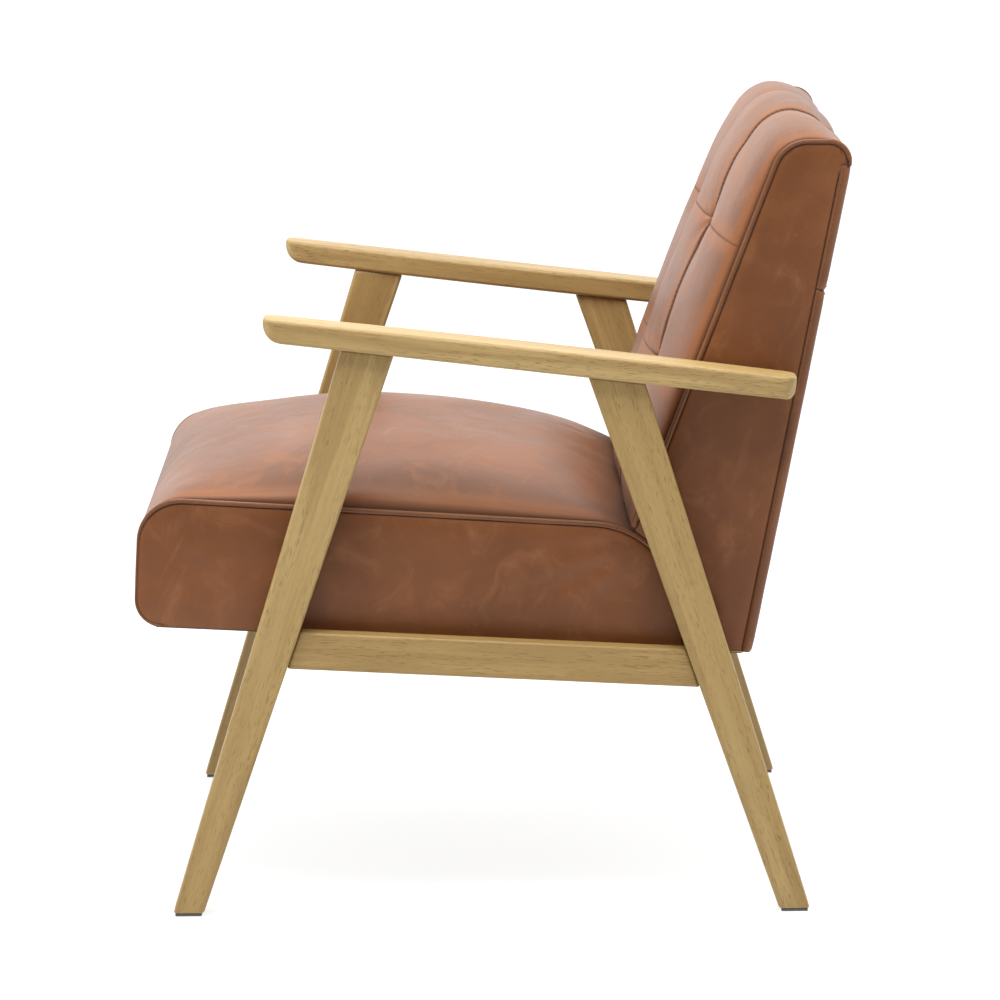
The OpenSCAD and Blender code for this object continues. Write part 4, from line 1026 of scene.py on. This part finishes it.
def distance_to(loop, points, closed=True):
    """Distance from each point to an outline."""
    a, b = (loop, np.roll(loop, -1, 0)) if closed else (loop[:-1], loop[1:])
    best = np.full(len(points), 9.0)
    for start, side in zip(a, b - a):
        t = held(((points - start) @ side) / max((side ** 2).sum(), 1e-12))
        best = np.minimum(best, np.linalg.norm(points - start - t[:, None] * side, axis=1))
    return best


def filled(loop, levels):
    """Rows of points that fill an outline, one row for each level of its second coordinate."""
    a, b = loop, np.roll(loop, -1, 0)
    rows, margin = [], 0.02
    for level in levels:
        crossing = (a[:, 1] - level) * (b[:, 1] - level) <= 0
        p, q = a[crossing], b[crossing]
        rise = np.where(np.abs(q[:, 1] - p[:, 1]) < 1e-9, 1, q[:, 1] - p[:, 1])
        t = held((level - p[:, 1]) / rise)
        at = np.concatenate([p[:, 0] + t * (q[:, 0] - p[:, 0]), q[np.abs(q[:, 1] - level) < 1e-9, 0]])
        low, high = at.min(), at.max()
        half = (high - low) / 2
        # true spacing beside the edges, as long as there is room for it
        spread = margin + (EDGE_GAPS - margin) / (EDGE_GAPS[-1] - margin) * (half - margin)
        room = held((half - margin) / 0.05)
        part = (EDGE_GAPS / EDGE_GAPS[-1] * half * (1 - room)
                + np.where(EDGE_GAPS < margin, EDGE_GAPS, spread) * room)
        across = np.concatenate([low + part, high - part[-2::-1]])
        rows.append(np.stack([across, np.full_like(across, level)], 1))
    return np.array(rows)


def slab(name, outer, inner, **tones):
    """A sheet of leather between an outer and an inner grid of the same size, closed round its rim."""
    n, m = outer.shape[:2]
    k = n * m
    faces = grid_faces(n, m) + [tuple(i + k for i in f[::-1]) for f in grid_faces(n, m)]
    rim = [*range(m)] + [i * m + m - 1 for i in range(1, n)]
    rim += [(n - 1) * m + j for j in range(m - 2, -1, -1)] + [i * m for i in range(n - 2, 0, -1)]
    faces += [(a, c, k + c, k + a) for a, c in zip(rim, rim[1:] + rim[:1])]
    piece = new_piece(name, np.concatenate([outer.reshape(-1, 3), inner.reshape(-1, 3)]), faces, leather())
    store(piece, k, **tones)
    return cleaned(piece)


def front_share(world, s):
    """1 on the front face of the seat, easing to 0 over its upper corner."""
    p = to_deck(world, s)
    return held((-s.front + 0.045 - p[..., 0]) / 0.025) * held((s.front_height - 0.004 - p[..., 1]) / 0.045)


def side_panel(name, node, side, loop, sewn, grid, to_world, puff, band, folds):
    """A side panel: level where it is sewn, softly crowned between, with small puckers beside the band."""
    flat = grid.reshape(-1, 2)
    world, zero = to_world(flat), np.zeros(len(flat))
    front = front_share(world, bpy.context.scene.armchair_seat)
    inside = np.maximum(0, distance_to(sewn, flat, closed=False) - band * (1 - SLIM * front))
    inside = np.minimum(inside, distance_to(loop, flat))
    puckers = ripple(np.c_[flat, zero + 0.3 * side], 30.0, 4.0 + side)
    broad = ripple(np.c_[flat, zero], 11.0, 8.0 + side)
    x = (HALF_W - 0.0004 + puff * (1 - np.exp(-inside / 0.016))
         - 0.0010 * near(inside, 0.0009) * (1 - SLIM * front))
    x += np.minimum(1, inside / 0.01) * (0.00045 * puckers * np.exp(-inside / 0.045) + 0.0005 * broad)
    for start, heading, span, height in folds:
        dy, dz = (flat - np.array(start)).T
        c, n = math.cos(math.radians(heading)), math.sin(math.radians(heading))
        t, off = (dy * c + dz * n) / span, dz * c - dy * n
        body = np.where((t > 0) & (t < 1), np.sin(np.pi * held(t)) ** 0.7 * (1 - t), 0)
        x += height * body * near(off, 0.0030 + 0.010 * held(t)) * np.minimum(1, inside / 0.006)
    outer, inner = (np.c_[v, world].reshape(*grid.shape[:2], 3)
                    for v in (side * x, zero + side * (FRAME_HALF + 0.0001)))
    # dark seam line with painted groove shade; the rub strip on the swell beside it is rubbed wear with a
    # painted highlight
    piece = slab(name, outer, inner, seam=near(inside, 0.0008) * (1 - 0.75 * front),
                 hollow=near(inside, 0.009) * 0.5, rub=near(inside - 0.009, 0.006) * 0.25)
    ready(piece, node, slot="leather")


def seam_band(name, node, side, path, width, seed):
    """The rolled band of leather along a side seam, a little uneven as sewn."""
    line = at_reach(path, np.linspace(0, reach(path)[-1], int(reach(path)[-1] / 0.004) + 1))
    flat = np.c_[line, np.zeros(len(line))]
    sway = ripple(flat, 28.0, seed) * 0.0004
    thick = 1 + 0.25 * ripple(flat, 50.0, seed + 3)
    front = front_share(line, bpy.context.scene.armchair_seat)
    taper = np.minimum(1, 0.25 + (reach(line)[-1] - reach(line)) / 0.012)
    points = []
    for p, q, o, k, f, e in zip(line, outward(line), sway, thick, front, taper):
        wide, high = width / 0.005 * (1 - SLIM * f) * e, k * (1 - SINK * f) * e
        points += [(side * (HALF_W + (lift * high if lift > 0 else lift)),
                    *(p - q * (depth * wide + (o if depth > 0.003 else 0)))) for depth, lift in BAND[:, :2]]
    piece = new_piece(name, points, tube_faces(len(line), len(BAND)), leather())
    # the band's seam column is painted groove shade at its edges, and its rub column is rubbed wear with a
    # painted highlight on the crest
    store(piece, seam=BAND[None, :, 2] * (1 - 0.75 * front[:, None]), hollow=np.zeros(len(points)),
          rub=np.tile(BAND[:, 3], len(line)))
    ready(cleaned(piece), node, slot="leather")


def spaced(low, high, count):
    """Levels from low to high, close together near both ends."""
    return np.concatenate([low + ROW_GAPS, np.linspace(low + 0.045, high - 0.045, count),
                           high - ROW_GAPS[::-1]])


class ARMCHAIR_OT_side_panels(bpy.types.Operator):
    """Make the side panels of the seat and the back with their sewn bands"""
    bl_idname = "armchair.side_panels"
    bl_label = "Side panels"

    def execute(self, context):
        sc = context.scene
        s, b, sew = sc.armchair_seat, sc.armchair_back, sc.armchair_sewing
        seat_loop = np.concatenate(seat_corners(s))
        seat_grid = filled(seat_loop[:, ::-1], spaced(-s.front, s.rear, 64))[..., ::-1]
        # the back's panel stops at the seat's rear outline
        lines = BackLines(b, s)
        seat_edge = from_deck(np.concatenate(seat_corners(s, 0.0006)[2:]), s)
        seat_edge = seat_edge[seat_edge[:, 0] > lines.crease[0] - 0.03]
        seat_edge = seat_edge[(seat_edge - lines.crease) @ behind(0, b.face_lean, 1.0) > 0]
        start = meet(lines.crease, lines.front_top, seat_edge[0], seat_edge[1])
        rear = [lines.on_rear(b, drop, -b.wrap) for drop in (lines.wrap_top, lines.rear_len)]
        back_loop = np.concatenate([[start], lines.brow, lines.nape, rear, seat_edge[::-1]])
        z0, z1 = back_loop[:, 1].min(), back_loop[:, 1].max()
        step = lines.on_rear(b, lines.wrap_top, -b.wrap / 2)[1]
        levels = np.concatenate([z0 + ROW_GAPS, np.linspace(z0 + 0.045, step - 0.008, 78),
                                 [step - 0.0009, step + 0.0009],
                                 np.linspace(step + 0.002, z1 - 0.009, max(2, int((z1 - step - 0.01) / 0.004))),
                                 z1 - ROW_GAPS[:6]])
        back_grid = filled(back_loop, np.sort(levels))
        back_line = lines.path.copy()
        back_line[0] = start + unit(lines.front_top - start) * 0.004
        # folds pulled from the corners: where they start, heading in degrees, length and height
        tail, toe, heel = (0.150, 0.105), (-0.335, 0.095), lines.on_rear(b, lines.rear_len - 0.03, -0.03)
        seat_folds = ((tail, 196, 0.19, 0.0022), (tail, 207, 0.15, -0.0020), (tail, 219, 0.17, 0.0024),
                      (tail, 236, 0.11, -0.0018), (toe, -22, 0.12, 0.0012), (toe, -48, 0.10, -0.0012))
        back_folds = ((heel, 118, 0.12, 0.0018), (heel, 136, 0.10, -0.0016), (heel, 96, 0.15, 0.0014))
        panels = (("seat", seat_loop, seat_path(s), seat_grid, lambda p: from_deck(p, s), s.panel_puff,
                   seat_folds),
                  ("back", back_loop, back_line, back_grid, lambda p: p, b.panel_puff, back_folds))
        bands = (("seat", from_deck(seat_path(s), s), 1.0), ("back", back_line, 5.0))
        for name, side in SIDES:
            for part, loop, sewn, grid, to_world, puff, folds in panels:
                side_panel(f"{part}_{name}_side", f"{part}_{name}_panel", side, loop, sewn, grid, to_world,
                           puff, sew.welt_width, folds)
            for part, line, seed in bands:
                seam_band(f"{part}_{name}_band", f"{part}_{name}_welt", side, line, sew.welt_width,
                          seed + side)
        return {"FINISHED"}


class ARMCHAIR_OT_outside_back(bpy.types.Operator):
    """Make the two panels of the outside back, wrapped round its upright edges and sewn across"""
    bl_idname = "armchair.outside_back"
    bl_label = "Outside back"

    def execute(self, context):
        b, s = context.scene.armchair_back, context.scene.armchair_seat
        lines = BackLines(b, s)
        r = b.wrap_radius
        # one level section, from the left side round to the right side
        flat = np.array([2, 5, 9, 14, 20, 27, 35, 44, 54, 65, 77, 90, 104, 119, 135, 152, 170, 189, 209,
                         229, 249, 270]) / 1000
        left = [(HALF_W, d) for d in np.linspace(-b.wrap, -r, 5)[:-1]]
        left += [(HALF_W - r + r * math.cos(a), -r + r * math.sin(a)) for a in np.linspace(0, np.pi / 2, 9)]
        left += [(HALF_W - r - f, 0.0) for f in flat[flat < HALF_W - r - 0.004]]
        section = np.array(left + [(0.0, 0.0)] + [(-x, d) for x, d in reversed(left)])
        run = reach(section)
        edge = np.minimum(run, run[-1] - run)
        out = -outward(section)
        gaps = np.array([0.0, 0.8, 1.8, 3.2, 5.0, 7.5, 11, 16, 22, 30]) / 1000
        for name, top, low in (("upper", lines.wrap_top, b.seam_drop),
                               ("lower", b.seam_drop, lines.rear_len)):
            middle = np.linspace(top + 0.038, low - 0.038, max(3, int((low - top - 0.07) / 0.008)))
            rows_out, rows_in, seam, hollow = [], [], [], []
            for drop in np.concatenate([top + gaps, middle, low - gaps[::-1]]):
                end = min(drop - top, low - drop)
                d = np.minimum(edge, end)
                points = np.c_[section, np.full(len(section), drop)]
                wave = (0.0005 * ripple(points * np.array([1, 1, 0.5]), 12.0, 6.0)
                        + 0.0003 * ripple(points, 40.0, 2.0) * np.exp(-d / 0.03))
                # the seam under the nape is flush
                deep = 0.0003 if name == "upper" and drop - top <= 0.03 else 0.0012
                lift = (0.0011 * (1 - np.exp(-d / 0.012)) - deep * near(d, 0.0016)
                        + wave * np.minimum(1, d / 0.01))
                for rows, shape in ((rows_out, section + out * lift[:, None]),
                                    (rows_in, section - out * (LEATHER_T - PLAY))):
                    rows.append([(x, *lines.on_rear(b, drop, depth)) for x, depth in shape])
                # dark seam lines with painted groove shade along the wrapped edges and the level seam
                seam.append(np.maximum(near(edge, 0.0013), near(end, 0.0011)))
                hollow.append(np.maximum(near(edge, 0.005) * 0.6, near(end, 0.010) * 0.8))
            piece = slab(f"outside_back_{name}_leather", np.array(rows_out), np.array(rows_in),
                         seam=seam, hollow=hollow, rub=np.zeros((len(seam), len(section))))
            ready(piece, f"outside_back_{name}", slot="leather")
        return {"FINISHED"}


# ---------------------------------------------------------------- repeated small parts

def joined(tree, kind, settings=None, **links):
    """Adds a node; a link is (node, output), anything else is a value, and at2 names the third input."""
    node = tree.nodes.new(kind)
    for key, value in (settings or {}).items():
        setattr(node, key, value)
    for key, value in links.items():
        socket = node.inputs[int(key[2:]) if key.startswith("at") else key.replace("_", " ")]
        if isinstance(value, tuple) and hasattr(value[0], "outputs"):
            tree.links.new(value[0].outputs[value[1]], socket)
        else:
            socket.default_value = value
    return node


def run_tree(name, sizes, axis, box, spread, segments, rings, smooth, vary):
    """A geometry tree that sets beads at an even pitch along the lines of a mesh, turned along them."""
    tree = bpy.data.node_groups.new(name, "GeometryNodeTree")
    kinds = {"Geometry": "Geometry", **dict.fromkeys(sizes, "Float"), "Seed": "Int", "Finish": "Material"}
    for label, kind in kinds.items():
        socket = tree.interface.new_socket(label, in_out="INPUT", socket_type="NodeSocket" + kind)
        if label in sizes:
            socket.default_value, socket.subtype = sizes[label], "DISTANCE"
    tree.interface.new_socket("Geometry", in_out="OUTPUT", socket_type="NodeSocketGeometry")
    given = tree.nodes.new("NodeGroupInput")
    line = joined(tree, "GeometryNodeMeshToCurve", Mesh=(given, "Geometry"))
    points = joined(tree, "GeometryNodeResampleCurve", {"mode": "LENGTH"}, Curve=(line, 0),
                    Length=(given, "Pitch"))
    tangent = joined(tree, "GeometryNodeInputTangent")
    turn = joined(tree, "FunctionNodeAlignRotationToVector", {"axis": axis}, Vector=(tangent, 0))
    change = joined(tree, "FunctionNodeRandomValue", {"data_type": "FLOAT"}, at2=spread[0], at3=spread[1],
                    Seed=(given, "Seed"))
    size = joined(tree, "ShaderNodeCombineXYZ", **{key: (given, label) for key, label in zip("XYZ", box)})
    turn, size = vary(tree, change, turn, size)
    bead = joined(tree, "GeometryNodeMeshUVSphere", Segments=segments, Rings=rings, Radius=0.5)
    if smooth:
        bead = joined(tree, "GeometryNodeSetShadeSmooth", at0=(bead, 0))
    many = joined(tree, "GeometryNodeInstanceOnPoints", Points=(points, 0), Instance=(bead, 0),
                  Rotation=(turn, 0), Scale=(size, 0))
    real = joined(tree, "GeometryNodeRealizeInstances", Geometry=(many, 0))
    finished = joined(tree, "GeometryNodeSetMaterial", Geometry=(real, 0), Material=(given, "Finish"))
    joined(tree, "NodeGroupOutput", Geometry=(finished, 0))
    return tree


def stitch_tree(sizes):
    """Stitches, each a little longer or shorter than the next."""
    def vary(tree, change, turn, size):
        return turn, joined(tree, "ShaderNodeVectorMath", {"operation": "SCALE"}, at0=(size, 0),
                            Scale=(change, 1))
    return run_tree("stitch_run", sizes, "Z", ("Thread", "Thread", "Length"), (0.88, 1.1), 6, 5, True, vary)


def staple_tree(sizes):
    """Wire staples, each a little turned."""
    def vary(tree, change, turn, size):
        twist = joined(tree, "ShaderNodeCombineXYZ", Z=(change, 1))
        as_turn = joined(tree, "FunctionNodeEulerToRotation", Euler=(twist, 0))
        return joined(tree, "FunctionNodeRotateRotation", {"rotation_space": "LOCAL"}, at0=(turn, 0),
                      at1=(as_turn, 0)), size
    return run_tree("staple_run", sizes, "X", ("Crown", "Wire", "Wire"), (-0.22, 0.22), 8, 6, False, vary)


def run_along(name, lines, tree, finish, seed, sizes, slot):
    """Sets a tree's small parts along several lines and makes them one plain mesh."""
    points, edges = [], []
    for line in lines:
        first = len(points)
        points += [tuple(map(float, p)) for p in line]
        edges += [(first + i, first + i + 1) for i in range(len(line) - 1)]
    mesh = bpy.data.meshes.new(name)
    mesh.from_pydata(points, edges, [])
    piece = bpy.data.objects.new(name, mesh)
    bpy.context.scene.collection.objects.link(piece)
    run = piece.modifiers.new("Run", "NODES")
    run.node_group = tree
    given = {**sizes, "Seed": seed, "Finish": finish}
    for item in tree.interface.items_tree:
        if item.in_out == "INPUT" and item.name in given:
            run[item.identifier] = given[item.name]
    baked(piece)
    piece.data.name = name
    return ready(piece, slot=slot)


def laid_on(piece, points, directions):
    """Points dropped onto a piece along directions that point away from it, with the thread lying on it."""
    tree = BVHTree.FromObject(piece, bpy.context.evaluated_depsgraph_get())
    found, start, lift = [], 0.06, 0.0001
    for p, d in zip(points, directions):
        d = Vector(d).normalized()
        hit = tree.ray_cast(Vector(p) + d * start, -d, 2 * start)[0]
        if hit is not None:
            found.append(hit + d * lift)
    return found


class ARMCHAIR_OT_stitches(bpy.types.Operator):
    """Sew the seams and staple the cloth under the seat"""
    bl_idname = "armchair.stitches"
    bl_label = "Stitches and staples"

    def execute(self, context):
        sc = context.scene
        s, b, sew = sc.armchair_seat, sc.armchair_back, sc.armchair_sewing
        lines = BackLines(b, s)
        sizes = {"Pitch": sew.pitch, "Length": sew.stitch, "Thread": sew.thread}
        tree, thread = stitch_tree(sizes), finish_of("thread", thread_finish)
        spacing = 0.003

        def sew_along(name, runs, seed):
            run_along(name, runs, tree, thread, sew.seed + seed, sizes, "leather")

        def on_bands(path):
            """Lines along the crests of the rolled bands of both side seams."""
            fine = at_reach(path, np.linspace(0.004, reach(path)[-1] - 0.002, int(reach(path)[-1] / spacing)))
            front = front_share(fine, s)
            crest = fine - outward(fine) * (0.0022 * (1 - SLIM * front))[:, None]
            return [[(side * (HALF_W + 0.0003 + 0.0007 * (1 - SINK * f)), *p) for p, f in zip(crest, front)]
                    for _, side in SIDES]

        sew_along("seat_seam_stitches", on_bands(from_deck(seat_path(s), s)), 0)
        runs = on_bands(lines.path)
        cushion = bpy.data.objects["back_cushion"]
        span = np.arange(b.lip, lines.total - 0.012, spacing)
        centre = at_reach(lines.path, span)
        normals = [(0, *d) for d in outward(centre)]
        for seam in (-LOBE / 2, LOBE / 2):
            for x in (seam - sew.beside, seam + sew.beside):
                runs.append(laid_on(cushion, [(x, *p) for p in centre], normals))
        away = (0, -math.cos(b.face_lean), math.sin(b.face_lean))
        xs = np.arange(-FRAME_HALF + 0.006, FRAME_HALF - 0.005, spacing)
        for p in at_reach(lines.path, lines.rows):
            runs.append(laid_on(cushion, [(x, *p) for x in xs], [away] * len(xs)))
        sew_along("back_seam_stitches", runs, 1)
        above, spacing_out = 0.0006, 0.004
        drops = np.arange(lines.wrap_top + 0.004, lines.rear_len - 0.003, spacing_out)
        runs = [[(side * (HALF_W + above), *lines.on_rear(b, d, -b.wrap + 0.0032)) for d in drops]
                for _, side in SIDES]
        xs = np.arange(-HALF_W + b.wrap_radius, HALF_W - b.wrap_radius + 0.001, spacing_out)
        runs += [[(x, *lines.on_rear(b, b.seam_drop + off, above)) for x in xs] for off in (-0.0036, 0.0036)]
        sew_along("outside_back_stitches", runs, 2)
        lo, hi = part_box("seat_dust_cover")
        inset = 0.008
        wide, u0, u1 = hi.x - inset, lo.y + inset, hi.y - inset
        ring = [(x, *from_deck((u, -0.0008), s))
                for x, u in ((-wide, u0), (wide, u0), (wide, u1), (-wide, u1), (-wide, u0))]
        staples = {"Pitch": sew.staple_pitch, "Crown": sew.staple_crown, "Wire": sew.thread}
        run_along("dust_cover_staples", [ring[i:i + 2] for i in range(4)], staple_tree(staples),
                  finish_of("zinc_steel", steel_finish), sew.seed + 3, staples, "steel")
        return {"FINISHED"}


# ---------------------------------------------------------------- floor, light and camera

# name, place, what it points at, size, power and tint
LAMPS = (("overhead_softbox", (0.95, -0.25, 3.0), (0, 0, 0.4), 1.8, 112.0, (1.0, 0.985, 0.95)),
         ("front_softbox", (1.8, -3.4, 1.4), (0, 0, 0.5), 1.6, 22.0, (1.0, 0.99, 0.97)),
         ("rear_softbox", (2.4, 3.0, 1.6), (0, 0, 0.5), 1.8, 18.0, (1.0, 0.99, 0.96)))
CAMERA_PLACE = (5.06442, -0.01298, 1.27095)
CAMERA_TURN, CAMERA_TIP, CAMERA_ROLL = -0.00451025, 0.1772034, -0.00753002
CAMERA_LENS = 176.4
FLOOR_RADIUS = 26


def studio_world():
    """A white studio: bright behind the chair and overhead, dimmer on the camera's side."""
    world = bpy.data.worlds.new("studio")
    world.use_nodes = True
    tree = world.node_tree
    tree.nodes.clear()
    eased = {"interpolation_type": "SMOOTHSTEP"}
    where = joined(tree, "ShaderNodeTexCoord")
    split = joined(tree, "ShaderNodeSeparateXYZ", at0=(where, "Generated"))
    side = joined(tree, "ShaderNodeMapRange", eased, at0=(split, "X"), at1=0.6, at2=-0.7, at3=0.12, at4=2.05)
    high = joined(tree, "ShaderNodeMapRange", eased, at0=(split, "Z"), at1=0.1, at2=0.9, at3=0.0, at4=0.30)
    both = joined(tree, "ShaderNodeMath", at0=(side, 0), at1=(high, 0))
    light = joined(tree, "ShaderNodeBackground", Strength=(both, 0))
    shown = joined(tree, "ShaderNodeBackground", Strength=1.05)
    path = joined(tree, "ShaderNodeLightPath")
    mix = joined(tree, "ShaderNodeMixShader", at0=(path, "Is Camera Ray"), at1=(light, 0), at2=(shown, 0))
    joined(tree, "ShaderNodeOutputWorld", Surface=(mix, 0))
    return world


class ARMCHAIR_OT_stage(bpy.types.Operator):
    """Set the pale floor, the soft lights and the camera"""
    bl_idname = "armchair.stage"
    bl_label = "Floor, light and camera"

    def execute(self, context):
        scene = context.scene
        f = Finish("studio_floor", roughness=0.9, specular_ior_level=0.1, emission_strength=0.80)
        pale = f.layers(f.tones.floor, (f.noise(f.place(), 1.5, 2.0) * 0.03, (0.28, 0.28, 0.28)))
        # the glow of the floor ends on the camera's side, so that the chair's near side stays calm
        toward = f.node("ShaderNodeSeparateXYZ", {}, {"Vector": f.place()})
        glow = f.layers((1.0, 1.0, 1.0), (toward.ramp(1.0, 2.2), (0.25, 0.25, 0.25)))
        f.set(base_color=pale, emission_color=glow)
        turns = np.linspace(0, 2 * np.pi, 97)[:-1]
        ring = [(FLOOR_RADIUS * math.cos(a), FLOOR_RADIUS * math.sin(a), 0) for a in turns]
        floor = new_piece("studio_floor", ring, [tuple(range(len(ring)))], f.material, smooth=False)
        scene.world = studio_world()
        for name, at, aim, size, power, tint in LAMPS:
            lamp = bpy.data.lights.new(name, "AREA")
            lamp.shape, lamp.size, lamp.energy, lamp.color = "SQUARE", size, power, tint
            holder = bpy.data.objects.new(name, lamp)
            holder.location = at
            holder.rotation_euler = (Vector(aim) - Vector(at)).to_track_quat("-Z", "Y").to_euler()
            scene.collection.objects.link(holder)
        flat = math.cos(CAMERA_TIP)
        look = Vector((-math.cos(CAMERA_TURN) * flat, -math.sin(CAMERA_TURN) * flat, -math.sin(CAMERA_TIP)))
        right = look.cross(Vector((0, 0, 1))).normalized()
        up = right.cross(look)
        c, n = math.cos(CAMERA_ROLL), math.sin(CAMERA_ROLL)
        right, up = c * right + n * up, c * up - n * right
        camera = bpy.data.objects.new("camera", bpy.data.cameras.new("camera"))
        camera.data.sensor_width, camera.data.lens = 36.0, CAMERA_LENS
        rows = [[right[k], up[k], -look[k], CAMERA_PLACE[k]] for k in range(3)]
        camera.matrix_world = Matrix(rows + [[0, 0, 0, 1]])
        scene.collection.objects.link(camera)
        scene.camera = camera
        scene.view_settings.view_transform = "Standard"
        scene.view_settings.look = "None"
        return {"FINISHED"}


class ARMCHAIR_PT_panel(bpy.types.Panel):
    """Lists the steps that dress the armchair"""
    bl_idname = "ARMCHAIR_PT_panel"
    bl_label = "Armchair"
    bl_space_type = "VIEW_3D"
    bl_region_type = "UI"
    bl_category = "Armchair"

    def draw(self, context):
        for step in STEPS:
            self.layout.operator(step.bl_idname)
        for name in GROUPS:
            group = getattr(context.scene, name)
            box = self.layout.box()
            for key in group.bl_rna.properties.keys():
                if key not in ("rna_type", "name"):
                    box.prop(group, key)


STEPS = (ARMCHAIR_OT_stage, ARMCHAIR_OT_wooden_frame, ARMCHAIR_OT_hidden_parts, ARMCHAIR_OT_seat_cushion,
         ARMCHAIR_OT_back_cushion, ARMCHAIR_OT_side_panels, ARMCHAIR_OT_outside_back, ARMCHAIR_OT_stitches)
GROUPS = {"armchair_seat": SeatSizes, "armchair_back": BackSizes, "armchair_sewing": SewingSizes,
          "armchair_wood": WoodSizes, "armchair_colours": Colours}
CLASSES = (*GROUPS.values(), *STEPS, ARMCHAIR_PT_panel)


def register():
    for kind in CLASSES:
        bpy.utils.register_class(kind)
    for name, kind in GROUPS.items():
        setattr(bpy.types.Scene, name, bpy.props.PointerProperty(type=kind))


def unregister():
    for name in GROUPS:
        delattr(bpy.types.Scene, name)
    for kind in reversed(CLASSES):
        bpy.utils.unregister_class(kind)


def main():
    register()
    for step in STEPS:
        group, name = step.bl_idname.split(".")
        getattr(getattr(bpy.ops, group), name)()


if __name__ == "__main__":
    main()
